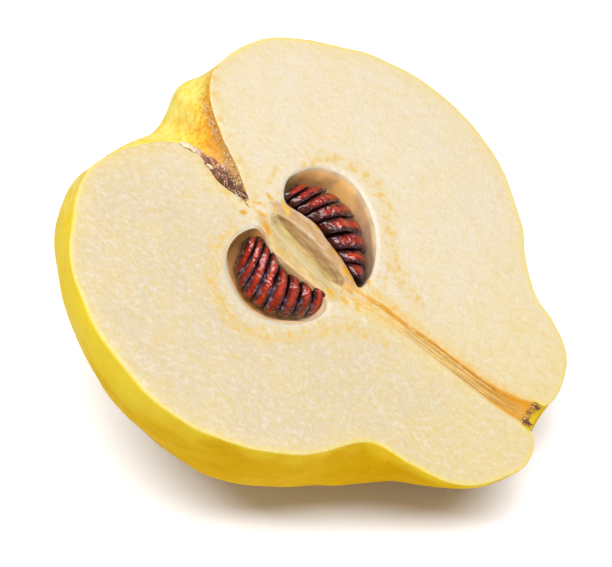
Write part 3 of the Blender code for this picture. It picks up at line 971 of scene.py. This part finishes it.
skinLook = {
    # pale, yellow and deep make the gradient down from the cut, partly the skin's own colour and partly
    # painted shade on the lower skin
    "pale": (0.620, 0.450, 0.030),
    "yellow": (0.565, 0.350, 0.010),
    "deep": (0.475, 0.250, 0.0),
    "lip": (0.600, 0.515, 0.150),
    "russet": (0.610, 0.300, 0.035),
    "darkRusset": (0.500, 0.205, 0.016),
    "tube": (0.540, 0.390, 0.165),
    "speck": (0.300, 0.110, 0.008),
    "down": (0.600, 0.560, 0.450),
    "patterns": {
        "soft": ("mottle", {"Scale": 0.10, "Detail": 1.5, "Low": 0.20, "High": 0.80}),
        "blush": ("mottle", {"Scale": 0.045, "Detail": 3.0, "Low": 0.25, "High": 0.75}),
        "freckles": ("mottle", {"Scale": 0.30, "Detail": 4.0, "Low": 0.44, "High": 0.66}),
        "specks": ("flecks", {"Scale": 0.30, "Size": 0.17, "Share": 0.45, "Softness": 0.7}),
        "scuffs": ("fibres", {"Stretch": (1.0, 0.5, 0.5), "Scale": 0.34, "Low": 0.60, "High": 0.70}),
        "pores": ("flecks", {"Scale": 0.85, "Size": 0.22, "Share": 0.40, "Softness": 0.8}),
        "pits": ("mottle", {"Scale": 0.42, "Detail": 4.0, "Low": 0.42, "High": 0.62}),
        "patch": ("mottle", {"Scale": 1.0, "Detail": 6.0, "Low": 0.36, "High": 0.60}),
        "streaks": ("fibres", {"Stretch": (0.8, 1.0, 1.0), "Scale": 1.7, "Low": 0.44, "High": 0.58}),
        "down": ("flecks", {"Scale": 1.5, "Size": 0.40, "Share": 0.30, "Softness": 0.6}),
    },
    "strength": {
        "neck": 0.95, "freckles": 0.38, "specks": 0.45, "scuffs": 0.32, "pores": 0.40, "lip": 0.8,
        "pits": 0.55, "streaks": 0.7, "down": 0.8,
    },
    "grain": {"Scale": 0.26, "Strength": 0.32, "Depth": 0.0012},
    "fineGrain": {"Scale": 2.2, "Detail": 3.0},
    "roughness": (0.34, 0.44),
    "scatter": (0.003, 0.0016, 0.0003),
}


def makeSkinMaterial():
    look, strength = skinLook, skinLook["strength"]
    material, tree, shader = newMaterial("quince_skin")
    place, station = grown(tree), fact(tree, "station")
    x, _, z = addNode(tree, "SeparateXYZ", {0: place}).outputs
    soft = pattern(tree, look, "soft", place)
    # the skin runs from pale to deep gold further below the cut, partly its own colour and partly painted
    # shade on the lower skin; it also ripens towards the stem
    ripeAndShaded = calc(tree, "ADD", remap(tree, z, 0.5, -14.0), remap(tree, x, -30.0, 20.0, -0.6, 0.60))
    ripeAndShaded = calc(tree, "ADD", ripeAndShaded, times(tree, calc(tree, "SUBTRACT", soft, 0.5), 0.6), clamp=True)
    colour = blend(tree, ripeAndShaded, look["pale"], look["yellow"])
    blush = remap(tree, pattern(tree, look, "blush", place), 0.0, 1.0, 0.30, 1.0)
    deeper = times(tree, remap(tree, ripeAndShaded, 0.45, 1.05), blush)
    byNeck = times(tree, remap(tree, x, 24.0, 40.0), remap(tree, z, -0.5, -4.0), strength["neck"])
    colour = tint(tree, colour, look["deep"], most(tree, deeper, byNeck))
    freckles = times(tree, pattern(tree, look, "freckles", place), ripeAndShaded)
    colour = tint(tree, colour, look["deep"], freckles, strength["freckles"])
    for name, tone in (("specks", "speck"), ("scuffs", "russet"), ("pores", "pale")):
        colour = tint(tree, colour, look[tone], pattern(tree, look, name, place), strength[name])
    fromLip = calc(tree, "ABSOLUTE", calc(tree, "SUBTRACT", station, 3.6))
    colour = tint(tree, colour, look["lip"], fade(tree, fromLip, 0.4, 1.7), strength["lip"])
    fromPits = calc(tree, "ABSOLUTE", calc(tree, "SUBTRACT", station, 3.8))
    pits = times(tree, pattern(tree, look, "pits", place), fade(tree, fromPits, 0.6, 2.4))
    colour = tint(tree, colour, look["yellow"], pits, strength["pits"])

    # russet of the calyx basin, strongest beside the cut, and the pale down left in it
    nearCut = remap(tree, z, -6.0, -0.5, 0.0, 1.45)
    patch = pattern(tree, look, "patch", place)
    reach = calc(tree, "SUBTRACT", calc(tree, "SUBTRACT", station, nearCut), times(tree, patch, 1.2))
    inBasin = fade(tree, reach, 0.7, 2.4)
    colour = tint(tree, colour, look["russet"], inBasin)
    streaks = pattern(tree, look, "streaks", place)
    colour = tint(tree, colour, look["darkRusset"], inBasin, streaks, strength["streaks"])
    # the calyx tube's pale tan tissue, made paler as painted light against the shade in the steep tube
    inTube = times(tree, remap(tree, station, 2.2, 1.0), calc(tree, "ADD", times(tree, patch, 0.35), 0.30))
    colour = tint(tree, colour, look["tube"], inTube)
    # painted light: the stem pit is coloured pale against the shade it lies in
    colour = tint(tree, colour, look["pale"], remap(tree, station, 14.7, 15.3))  # the stem pit
    down = pattern(tree, look, "down", place)
    colour = tint(tree, colour, look["down"], inBasin, down, strength["down"])
    fine = addNode(tree, "TexNoise", {"Vector": place, **look["fineGrain"]})
    bump = addNode(tree, "Bump", {
        "Strength": 0.18, "Distance": 0.0003, "Height": fine.outputs["Fac"],
        "Normal": bumpy(tree, look, place),
    })
    feed(
        tree, shader, Base_Color=colour, Roughness=remap(tree, soft, 0.0, 1.0, *look["roughness"]),
        Normal=bump.outputs["Normal"], Subsurface_Weight=0.10, Subsurface_Radius=look["scatter"],
        Subsurface_Scale=1.0, IOR=1.02,
    )
    return material


wallLook = {
    "rim": (0.430, 0.330, 0.195),
    "far": (0.630, 0.345, 0.112),
    "near": (0.600, 0.260, 0.062),
    # painted light and shade: the stemward wall has its own colour on each side, darker on the far side and
    # brighter on the near side
    "farStemward": (0.190, 0.124, 0.090),
    "nearStemward": (0.680, 0.540, 0.360),
    "shaded": (0.430, 0.190, 0.045),
    "patterns": {
        "clouds": ("mottle", {"Scale": 0.30, "Detail": 2.0, "Low": 0.40, "High": 0.68}),
        "scars": ("fibres", {"Stretch": (1.0, 0.25, 0.25), "Scale": 0.9, "Low": 0.52, "High": 0.66}),
    },
    "strength": {"stemwardLightAndShade": 0.9, "shade": 0.75, "clouds": 0.35, "scars": 0.25},
    "grain": {"Scale": 0.8, "Strength": 0.12, "Depth": 0.0003},
    "scatter": (0.002, 0.001, 0.0005),
}


def makeWallMaterial():
    look, strength = wallLook, wallLook["strength"]
    material, tree, shader = newMaterial("seed_chamber_wall")
    place, down = grown(tree), fact(tree, "downChamber")
    x = addNode(tree, "SeparateXYZ", {0: place}).outputs[0]
    nearSide = remap(tree, fact(tree, "side"), -2.0, 0.0, 0.9, 0.0)
    wall = blend(tree, nearSide, look["far"], look["near"])
    # painted light and shade on the stemward walls: darker on the far side, brighter on the near side
    stemwardLightAndShade = blend(tree, nearSide, look["farStemward"], look["nearStemward"])
    colour = blend(tree, remap(tree, down, 0.02, 0.13), look["rim"], wall)
    atStem = times(tree, remap(tree, x, -3.0, 11.0), remap(tree, down, 0.02, 0.14))
    colour = tint(tree, colour, stemwardLightAndShade, atStem, strength["stemwardLightAndShade"])
    inShade = times(tree, remap(tree, down, 0.35, 0.95), calc(tree, "SUBTRACT", 0.95, nearSide))
    colour = tint(tree, colour, look["shaded"], inShade, strength["shade"])
    # the clouds mix the same painted light and shade colour over the wall
    colour = tint(tree, colour, stemwardLightAndShade, pattern(tree, look, "clouds", place), strength["clouds"])
    colour = tint(tree, colour, look["rim"], pattern(tree, look, "scars", place), strength["scars"])
    feed(
        tree, shader, Base_Color=colour, Roughness=0.45, Normal=bumpy(tree, look, place),
        Subsurface_Weight=0.1, Subsurface_Radius=look["scatter"], Subsurface_Scale=1.0,
        Specular_IOR_Level=0.2,
    )
    return material


slotLook = {
    "rim": (0.430, 0.325, 0.170),
    # the far wall's brown streaked colour is darker than the near side, partly its own colour and partly
    # painted shade
    "near": (0.480, 0.385, 0.200),
    "bottom": (0.420, 0.310, 0.100),
    "wall": (0.205, 0.110, 0.038),
    "wallStreak": (0.285, 0.180, 0.074),
    "seam": (0.215, 0.100, 0.030),
    "seams": ((0.20, 0.45), (0.52, 0.65)),  # how far down the wall, strength
    "bottomStrength": 0.75,
    "patterns": {
        "streaks": ("fibres", {"Stretch": (0.13, 1.0, 1.0), "Scale": 1.5, "Low": 0.38, "High": 0.62}),
    },
    "grain": {"Scale": 1.3, "Strength": 0.45, "Depth": 0.0004},
    "scatter": (0.002, 0.0012, 0.0005),
}


def makeSlotMaterial():
    look = slotLook
    material, tree, shader = newMaterial("pith_slot")
    down = fact(tree, "downSlot")
    farSide = remap(tree, fact(tree, "side"), -0.2, 0.5)
    streaks = pattern(tree, look, "streaks", grown(tree))
    wall = blend(tree, streaks, look["wall"], look["wallStreak"])
    wavy = calc(tree, "ADD", down, times(tree, streaks, 0.12))
    for depth, strength in look["seams"]:
        away = calc(tree, "ABSOLUTE", calc(tree, "SUBTRACT", wavy, depth))
        wall = tint(tree, wall, look["seam"], fade(tree, away, 0.02, 0.09), strength)
    # painted shade with the far wall's own brown streaks: the far side is much darker than the near side
    colour = blend(tree, farSide, look["near"], wall)
    colour = tint(tree, colour, look["bottom"], remap(tree, down, 0.72, 0.98), look["bottomStrength"])
    rim = times(tree, fade(tree, down, 0.0, 0.14), flip(tree, times(tree, farSide, 0.5)))
    colour = tint(tree, colour, look["rim"], rim)
    feed(
        tree, shader, Base_Color=colour, Roughness=0.45, Normal=bumpy(tree, look, grown(tree, (0.25, 1, 1))),
        Subsurface_Weight=0.15, Subsurface_Radius=look["scatter"], Subsurface_Scale=1.0,
        Specular_IOR_Level=0.2,
    )
    return material


strandLook = {
    "pale": (0.570, 0.400, 0.155),
    "orange": (0.500, 0.275, 0.035),
    "deep": (0.430, 0.185, 0.0),
    "patterns": {"breaks": ("mottle", {"Scale": 0.8, "Detail": 3.0, "Low": 0.42, "High": 0.62})},
    "grain": {"Scale": 3.0, "Strength": 0.3, "Depth": 0.0001},
    "fibres": 26,
    "radius": (0.03, 0.085),
    "proud": 0.04,  # above the strand's groove
    "wander": 0.07,  # of the strand's width
}


def makeStrandMaterial():
    look = strandLook
    material, tree, shader = newMaterial("strand_fibre")
    tone = fact(tree, "tone")
    colour = blend(tree, remap(tree, tone, 0.0, 0.5), look["pale"], look["orange"])
    colour = tint(tree, colour, look["deep"], remap(tree, tone, 0.6, 1.0))
    colour = tint(tree, colour, look["pale"], pattern(tree, look, "breaks", grown(tree, (0.6, 1, 1))), 0.5)
    run = addNode(tree, "SeparateXYZ", {0: grown(tree)}).outputs[0]
    colour = tint(tree, colour, look["deep"], remap(tree, run, 34.0, 52.0, 0.0, 0.55))
    feed(tree, shader, Base_Color=colour, Roughness=0.5, Normal=bumpy(tree, look, grown(tree, (0.2, 1, 1))))
    return material


def makeStrandFibres(material):
    rng = random.Random(5)
    count, (low, high) = strandLook["fibres"], strandLook["radius"]
    bed = strandLook["proud"] - cutFace["strandDrop"]
    upper, lower = (smoothThrough([(*p, 0) for p in strand[edge]], 8) for edge in ("upper", "lower"))
    paths, tones = [], []
    for number in range(count):
        share = (number + rng.uniform(0.2, 0.8)) / count
        start = rng.uniform(0.0, 0.45) if 0.12 < share < 0.85 else rng.uniform(0, 0.1)
        end = min(1.0, start + rng.uniform(0.35, 0.8))
        if rng.random() < 0.45:
            start, end = max(0.0, 1 - (end - start)), 1.0  # more of them nearer the stem
        thick = rng.uniform(low, high)
        line, radii = [], []
        steps = max(8, int(60 * (end - start)))
        for step in range(steps + 1):
            run = (start + (end - start) * step / steps) * (len(upper) - 1)
            at = min(int(run), len(upper) - 2)
            a, b = (edge[at].lerp(edge[at + 1], run - at) for edge in (upper, lower))
            wander = strandLook["wander"] * noise.noise(Vector((run / 5, number * 3.1, 0.0)))
            place = b.lerp(a, min(1.0, max(0.0, share + wander)))
            slim = math.sin(math.pi * min(1, max(0.0, step / steps))) ** 0.4  # thinner at both ends
            line.append((place.x, place.y, bed + 0.05 * noise.noise(Vector((run / 3, number, 9.0)))))
            radii.append(thick * (0.25 + 0.75 * slim) * (1 + 0.3 * noise.noise(Vector((run, number, 4.0)))))
        paths.append((line, radii))
        tones.append(0.7 + 0.3 * rng.random() if share > 0.78 else 0.55 * rng.random())
    points, faces, owners = tubes(paths, 7)
    facts = {"tone": np.array(tones)[owners]}
    makePiece("stem_strand_fibres", points, faces, [material], facts=facts)


seeds = {
    # end by the pith, blunt end; x, y
    "far": (
        ((-9.0, 6.5), (-6.9, 14.4)), ((-7.5, 6.4), (-4.2, 16.2)), ((-5.3, 6.5), (-0.9, 17.0)),
        ((-2.9, 6.6), (2.9, 16.5)), ((0.1, 6.4), (6.5, 14.8)), ((3.1, 5.4), (9.4, 11.8)),
        ((6.0, 4.2), (11.4, 8.6)), ((8.7, 2.9), (12.7, 5.2)),
    ),
    "near": (
        ((-9.6, -3.6), (-7.8, -9.6)), ((-8.4, -2.3), (-5.8, -11.6)), ((-6.5, -2.6), (-3.3, -12.6)),
        ((-4.4, -3.5), (-0.9, -12.8)), ((-1.8, -4.4), (1.8, -12.3)), ((0.9, -4.4), (4.5, -11.0)),
        ((3.5, -4.3), (6.8, -9.4)), ((6.0, -4.4), (8.7, -7.5)),
    ),
    "sides": 44,
    "rings": 48,
    "deep": 2.6,
    "widestAt": 0.45,  # share of the length from the pith's end
    "bluntness": (7.0, 3.6),  # of the pith's end and the blunt end
    "fullness": 1.30,
    "flattening": 1.6,  # how flat neighbours press each other
    "roundness": 0.82,
    "gap": 0.03,
    # height of the ridge at the pith's end, the middle and the blunt end
    "arch": {"far": (-0.6, 0.1, -2.4), "near": (-1.5, 0.0, -3.2)},
    "unevenness": ((3.0, 0.42), (1.2, 0.16)),  # wavelength, height
}


def seedAxis(ends, u):
    (startX, startY), (endX, endY) = ends
    return np.array((startX + (endX - startX) * u, startY + (endY - startY) * u))


def roomBeside(row, number, u):  # a seed's middle, the way across it, and how far off its neighbours are
    centre = seedAxis(row[number], u)
    before = seedAxis(row[number - 1], u) if number else None
    after = seedAxis(row[number + 1], u) if number + 1 < len(row) else None
    step = (after if after is not None else centre) - (before if before is not None else centre)
    across = step / np.linalg.norm(step)
    gaps = [abs((other - centre) @ across) if other is not None else None for other in (before, after)]
    known = max(gap for gap in gaps if gap is not None)
    return centre, across, [gap if gap is not None else known * 1.25 for gap in gaps]


def pressedSeed(row, number, arch):
    sides, rings, widest = seeds["sides"], seeds["rings"], seeds["widestAt"]
    points, crease, along = [], [], []
    shift = 7.3 * number + 40 * row[0][0][1]  # gives each seed lumps of its own
    middle = 2 * arch[1] - 0.5 * (arch[0] + arch[2])
    for ring in range(rings + 1):
        u = ring / rings
        centre, across, gaps = roomBeside(row, number, u)
        away = (widest - u) / widest if u < widest else (u - widest) / (1 - widest)
        swell = max(0.02, 1 - away ** seeds["bluntness"][0 if u < widest else 1]) ** 0.5
        top = (1 - u) ** 2 * arch[0] + 2 * u * (1 - u) * middle + u**2 * arch[2]
        top += noiseSum((u * 6, 0, 0), seeds["unevenness"], shift) * 1.8
        deep = seeds["deep"] * swell
        for side in range(sides):
            angle = 2 * math.pi * side / sides
            wide = 0.5 * (gaps[1] if math.cos(angle) > 0 else gaps[0])
            limit = wide - seeds["gap"] / 2
            out = wide * seeds["fullness"] * swell * math.cos(angle)
            firm = seeds["flattening"]
            bent = limit * math.tanh(abs(out) / limit * firm) / math.tanh(firm * seeds["fullness"])
            out = math.copysign(min(bent, limit), out)
            up = deep * math.copysign(abs(math.sin(angle)) ** seeds["roundness"], math.sin(angle))
            x, y = centre + across * out
            lump = noiseSum((x, y, up), seeds["unevenness"], shift)
            points.append((x, y, top - seeds["deep"] + up + lump * swell))
            crease.append(min(1.0, abs(out) / limit) if up > -0.3 * deep else 1.0)
            along.append(u)
    shade = [0.5 + 0.5 * noise.noise(Vector((shift, 1.3, 2.1)))] * len(points)
    return np.array(points), closedFaces(rings, sides), {"crease": crease, "alongSeed": along, "tint": shade}


seedLook = {
    "ridge": (0.235, 0.010, 0.003),
    # litRidgeEmber is painted light: a brighter red on the ridge crests, in patches of the coat's own uneven
    # red
    "litRidgeEmber": (0.390, 0.036, 0.006),
    # maroon and dark are also painted shade: maroon and then near black into the creases between seeds, and
    # dark at the pith ends
    "maroon": (0.075, 0.006, 0.005),
    "dark": (0.018, 0.002, 0.002),
    "film": (0.044, 0.014, 0.026),
    "filmPale": (0.250, 0.180, 0.240),
    "patterns": {
        "rough": ("mottle", {"Scale": 0.75, "Detail": 5.0, "Low": 0.25, "High": 0.75}),
        "patches": ("mottle", {"Scale": 0.40, "Detail": 3.0, "Low": 0.38, "High": 0.60}),
        "wisps": ("fibres", {"Stretch": (1.0, 0.45, 1.0), "Scale": 1.2, "Low": 0.46, "High": 0.64}),
    },
    "strength": {"maroon": 0.4, "pithEndShade": 0.9, "wisps": 0.75, "film": 0.8},
    "grain": {"Scale": 0.8, "Strength": 0.55, "Depth": 0.0006},
    "roughness": 0.3,
    "wetness": (0.9, 0.08),  # weight and roughness of the coat
}


def makeSeedMaterial():
    look, strength = seedLook, seedLook["strength"]
    material, tree, shader = newMaterial("seed_coat")
    place, crease, along = grown(tree), fact(tree, "crease"), fact(tree, "alongSeed")
    rough = calc(tree, "SUBTRACT", pattern(tree, look, "rough", place), 0.5)
    # painted light on the ridge crests: brighter red there, patchy like the coat's own colour
    patches = times(tree, pattern(tree, look, "patches", place), remap(tree, crease, 0.55, 0.10))
    colour = blend(tree, patches, look["ridge"], look["litRidgeEmber"])
    darkSeed = remap(tree, fact(tree, "tint"), 0.25, 0.75)
    colour = tint(tree, colour, look["maroon"], darkSeed, strength["maroon"])
    # painted shade: the flanks and undersides darken to maroon and then near black into the creases between
    # neighbouring seeds
    lines = calc(tree, "ADD", crease, times(tree, rough, 0.55))
    colour = tint(tree, colour, look["maroon"], remap(tree, lines, 0.26, 0.56))
    # painted shade: each seed darkens towards its pith end, where it runs in under the flesh
    ends = calc(tree, "ADD", along, times(tree, rough, 0.18))
    colour = tint(tree, colour, look["dark"], fade(tree, ends, 0.10, 0.38), strength["pithEndShade"])
    colour = tint(tree, colour, look["dark"], remap(tree, lines, 0.54, 0.86))

    # torn film, in the creases and towards the blunt end
    film = combine(tree, "ADD", times(tree, crease, 0.9), times(tree, rough, 0.7),
                   remap(tree, along, 0.50, 0.98, 0.0, 0.9))
    wisps = times(tree, pattern(tree, look, "wisps", place), strength["wisps"])
    filmColour = blend(tree, wisps, look["film"], look["filmPale"])
    colour = tint(tree, colour, filmColour, remap(tree, film, 0.98, 1.34), strength["film"])
    normal = bumpy(tree, look, place)
    wetness, wetRoughness = look["wetness"]
    feed(
        tree, shader, Base_Color=colour, Roughness=look["roughness"], Normal=normal, Coat_Weight=wetness,
        Coat_Roughness=wetRoughness, Specular_IOR_Level=0.08, Coat_Normal=normal,
    )
    return material


def makeSeeds(material):
    for side in ("near", "far"):
        for number in range(len(seeds[side])):
            points, faces, facts = pressedSeed(seeds[side], number, seeds["arch"][side])
            makePiece(
                f"quince_seed_{side}_{number + 1}", points, faces, [material], facts=facts,
                replaced=[f"seed_{side}_{number + 1}"],
            )


dryLook = {
    "dark": (0.072, 0.028, 0.016),
    "brown": (0.256, 0.096, 0.04),
    "rose": (0.480, 0.290, 0.210),
    "straw": (0.620, 0.510, 0.360),
    "amber": (0.420, 0.200, 0.030),
    # the tone at which each colour starts to show over the one before, and where it is full
    "tones": {"brown": (0.0, 0.35), "rose": (0.4, 0.7), "straw": (0.75, 1.0), "amber": (1.1, 1.4)},
    "patterns": {"worn": ("mottle", {"Scale": 1.4, "Detail": 5.0, "Low": 0.40, "High": 0.62})},
    "grain": {"Scale": 3.2, "Strength": 0.6, "Depth": 0.0002},
}


def makeDryMaterial():
    look = dryLook
    material, tree, shader = newMaterial("dry_calyx")
    tone, colour = fact(tree, "tone"), look["dark"]
    for name, (starts, full) in look["tones"].items():
        colour = tint(tree, colour, look[name], remap(tree, tone, starts, full))
    colour = tint(tree, colour, look["brown"], pattern(tree, look, "worn", grown(tree)), 0.35)
    feed(tree, shader, Base_Color=colour, Roughness=0.75, Normal=bumpy(tree, look, grown(tree, (0.4, 1, 1))))
    return material


calyx = {
    # CAD piece: flakes of start, end, half width, lift of the middle, tone from dark brown (0) to straw (1)
    "flakes": {
        "dry_sepal_1": (
            ((-31.3, 1.7, -0.2), (-27.2, 2.6, -0.5), 0.60, 0.5, 1.0),
            ((-29.3, 2.5, -0.6), (-25.8, 3.3, -0.9), 0.50, 0.4, 0.72),
        ),
        "dry_sepal_2": (
            ((-27.3, 1.7, -0.7), (-23.4, 2.5, -1.0), 0.80, 0.5, 0.22),
            ((-26.4, 3.0, -1.1), (-22.6, 4.0, -1.3), 0.45, 0.4, 0.50),
            ((-25.6, 1.2, -0.5), (-22.9, 1.9, -0.7), 0.35, 0.4, 0.92),
        ),
        "dry_sepal_3": (
            ((-24.0, 1.5, -0.8), (-20.0, 1.6, -0.9), 0.75, 0.5, 0.14),
            ((-23.6, 3.3, -1.2), (-20.2, 4.1, -1.3), 0.55, 0.4, 0.62),
            ((-22.6, 2.4, -0.6), (-19.8, 3.3, -0.8), 0.40, 0.5, 0.34),
        ),
    },
    "flake": {"thickness": 0.16, "sides": 26, "rings": 22, "ragged": 0.35, "crumple": 0.30, "curl": 0.25},
    "blotches": 0.30,  # how much the tone changes over a flake
    "tuft": {
        "line": ((-21.6, 2.5), (-15.2, 0.9)), "count": 120, "length": (1.3, 3.6), "spread": (1.0, 1.15, 0.4),
        "heading": (-20, 30), "tones": (0.0, 0.0, 0.02, 0.04, 0.08, 0.2, 0.6, 0.95, 1.0),
    },
    "down": {
        "line": ((-31.6, 12.6), (-28.3, 9.6), (-25.0, 7.6), (-20.5, 5.2), (-17.0, 2.9)), "count": 110,
        "length": (0.2, 0.55), "spread": (1.0, 1.0, 0.5), "heading": (-30, 60),
        "tones": (0.8, 0.9, 1.0, 1.0),
    },
}


def flake(start, end, halfWidth, lift, seed):
    thick, sides, rings = (calyx["flake"][name] for name in ("thickness", "sides", "rings"))
    ragged, crumple, curl = (calyx["flake"][name] for name in ("ragged", "crumple", "curl"))
    start, end = np.array(start, float), np.array(end, float)
    along = (end - start) / np.linalg.norm(end - start)
    across = np.cross((0, 0, 1.0), along)
    across /= np.linalg.norm(across)
    points = []
    for ring in range(rings + 1):
        u = ring / rings
        wide = halfWidth * (0.08 + math.sin(math.pi * min(1, u * 0.94 + 0.03)) ** 0.7)
        wide *= 1 + ragged * noise.noise(Vector((u * 5, seed, 0.5)))
        centre = start + (end - start) * u + np.array((0, 0, lift * math.sin(math.pi * u)))
        for side in range(sides):
            angle = 2 * math.pi * side / sides
            place = centre + across * wide * math.cos(angle)
            place[2] += thick * math.sin(angle) * (0.4 + 0.6 * math.sin(math.pi * u))
            place[2] += crumple * noise.noise(Vector((place[0] / 0.7, place[1] / 0.7, seed)))
            place[2] += curl * math.cos(angle) ** 2  # edges curl up
            points.append(place)
    return np.array(points), closedFaces(rings, sides)


def joined(parts):
    points, faces = [], []
    for place, corners in parts:
        faces += [tuple(len(points) + c for c in face) for face in corners]
        points += list(place)
    return np.array(points), faces


def hairs(rng, line, count, length, spread, heading, tones):
    line = evenly(smoothThrough([(*p, 0) for p in line], 8), 0.1)
    paths, picked = [], []
    for number in range(count):
        middle = line[rng.randrange(len(line))] + [rng.gauss(0, 0.45) * s for s in spread]
        middle[2] = min(-0.05, middle[2] - spread[2])
        long, angle, bend = rng.uniform(*length), math.radians(rng.gauss(*heading)), rng.uniform(-0.9, 0.9)
        place, radii = [], []
        for step in range(9):
            u = step / 8 - 0.5
            place.append(middle + [
                long * u * math.cos(angle + bend * u), long * u * math.sin(angle + bend * u),
                0.5 * (0.25 - u * u) + 0.15 * noise.noise(Vector((number, u * 4, 0.0))),
            ])
            radii.append(rng.uniform(0.04, 0.11) * (1.1 - abs(u)))
        paths.append((place, radii))
        picked.append(rng.choice(tones))
    points, faces, owners = tubes(paths, 6)
    return points, faces, {"tone": np.array(picked)[owners]}


def makeCalyx(material):
    rng = random.Random(8)
    for stands, flakes in calyx["flakes"].items():
        parts = [
            flake(start, end, wide, lift, 3.7 * number + start[0])
            for number, (start, end, wide, lift, _) in enumerate(flakes)
        ]
        tones = [
            tone + calyx["blotches"] * noise.noise(Vector(p) / 0.6)
            for (*_, tone), (points, _) in zip(flakes, parts) for p in points
        ]
        points, faces = joined(parts)
        facts = {"tone": tones}
        makePiece(f"crumpled_{stands}", points, faces, [material], facts=facts, replaced=[stands])
    points, faces, facts = hairs(rng, **calyx["tuft"])
    makePiece("stamen_filaments", points, faces, [material], facts=facts, replaced=["stamen_tuft"])
    points, faces, facts = hairs(rng, **calyx["down"])
    makePiece("basin_down", points, faces, [material], facts=facts)


stub = {
    # bundles of fibres left in the stem pit: place across it, spread, count, reach past its edge
    "bundles": ((4.7, 0.35, 9, 0.8), (3.2, 1.0, 22, -0.4), (1.5, 0.8, 16, -0.3), (0.5, 0.35, 9, 1.0)),
    "rootedAt": 51.6,
    "edge": 54.1,
    "radius": (0.10, 0.18),
    "darkTones": (0.0, 0.05, 0.2, 0.3),
    "strawTone": 0.95,
    "amberTone": 1.5,
}


def makeStub(material):
    rng = random.Random(3)
    paths, tones = [], []
    rooted, edge, amber = stub["rootedAt"], stub["edge"], stub["amberTone"]
    shares = np.linspace(0, 1, 9)
    for middle, spread, count, reach in stub["bundles"]:
        for number in range(count):
            across, above = middle + rng.uniform(-1, 1) * spread, rng.uniform(-1.3, -0.2)
            end = edge + reach * rng.uniform(0.4, 1.0)
            dark = rng.choice(stub["darkTones"]) if rng.random() < 0.85 else stub["strawTone"]
            line = [
                (rooted + (end - rooted) * u, across + 0.12 * math.sin(7 * u + number), above + 0.2 * u)
                for u in shares
            ]
            paths.append((line, [rng.uniform(*stub["radius"]) * (1.1 - 0.5 * u) for u in shares]))
            tones.append((dark, 0.62) if reach > 0.6 else (amber, 0.5))
    points, faces, owners = tubes(paths, 8)
    along = (points[:, 0] - rooted) / (edge - rooted)
    dark, turns = np.array(tones)[owners].T
    makePiece(
        "stem_stub_fibres", points, faces, [material],
        facts={"tone": np.where(along > turns, dark, amber)}, replaced=["stem_stub"],
    )


studio = {
    "azimuth": 29.54,
    "elevation": 51.5,
    "distance": 494.0,  # mm from the core
    "lens": 152.94,
    "aside": (0.19, -6.365),  # mm right and up of the core
    "world": 0.26,
    "worldColour": (1.0, 0.99, 0.97, 1.0),
    "keySize": (1.6, 0.5),
    "keyPower": 20.5,
    "keyPlace": (0.05, -0.13, 0.93),
    "fillSize": (0.8, 0.8),
    "fillPower": 0.4,
    "fillPlace": (0.5, -0.6, 0.5),
    "floorHalf": 2.0,  # half its side, in metres
    "floorColour": (0.91, 0.93, 0.97),
}


def makeFloor():
    half = studio["floorHalf"]
    floorMesh = bpy.data.meshes.new("studio_floor")
    corners = [(-half, -half, 0), (half, -half, 0), (half, half, 0), (-half, half, 0)]
    floorMesh.from_pydata(corners, [], [(0, 1, 2, 3)])
    floor = bpy.data.objects.new("studio_floor", floorMesh)
    bpy.context.scene.collection.objects.link(floor)
    material, tree, shader = newMaterial("studio_paper")
    feed(tree, shader, Base_Color=studio["floorColour"], Roughness=0.9, Specular_IOR_Level=0.1)
    floorMesh.materials.append(material)


def makeLights(core):
    world = bpy.data.worlds.new("studio_light")
    world.use_nodes = True
    background = world.node_tree.nodes["Background"]
    background.inputs["Color"].default_value = studio["worldColour"]
    background.inputs["Strength"].default_value = studio["world"]
    bpy.context.scene.world = world
    for name in ("key", "fill"):
        lamp = bpy.data.lights.new(name + "_light", "AREA")
        lamp.shape, lamp.energy = "ELLIPSE", studio[name + "Power"]
        lamp.size, lamp.size_y = studio[name + "Size"]
        lampObject = bpy.data.objects.new(name + "_light", lamp)
        lampObject.location = studio[name + "Place"]
        lampObject.rotation_euler = (core - lampObject.location).to_track_quat("-Z", "Y").to_euler()
        bpy.context.scene.collection.objects.link(lampObject)


def makeCamera(core):
    around, above = math.radians(studio["azimuth"]), math.radians(studio["elevation"])
    right = Vector((math.cos(around), math.sin(around), 0))
    back = Vector((
        math.sin(around) * math.cos(above), -math.cos(around) * math.cos(above), math.sin(above)
    ))
    up = back.cross(right)
    camera = bpy.data.cameras.new("studio_camera")
    camera.lens, camera.sensor_width = studio["lens"], 36.0
    cameraObject = bpy.data.objects.new("studio_camera", camera)
    aside, raised = studio["aside"]
    cameraObject.location = core + mm * (aside * right + raised * up + studio["distance"] * back)
    cameraObject.rotation_euler = (math.pi / 2 - above, 0, around)
    bpy.context.scene.collection.objects.link(cameraObject)
    bpy.context.scene.camera = cameraObject


makeFruit([makeSkinMaterial(), makeFleshMaterial(), makeWallMaterial(), makeSlotMaterial()])
print("fruit done")
makeStrandFibres(makeStrandMaterial())
print("strand done")
makeSeeds(makeSeedMaterial())
print("seeds done")
dryMaterial = makeDryMaterial()
makeCalyx(dryMaterial)
makeStub(dryMaterial)
print("calyx and stem done")
core = fruitPlace.to_translation()
makeFloor()
makeLights(core)
makeCamera(core)
bpy.context.scene.view_settings.view_transform = "Standard"

print("studio done")
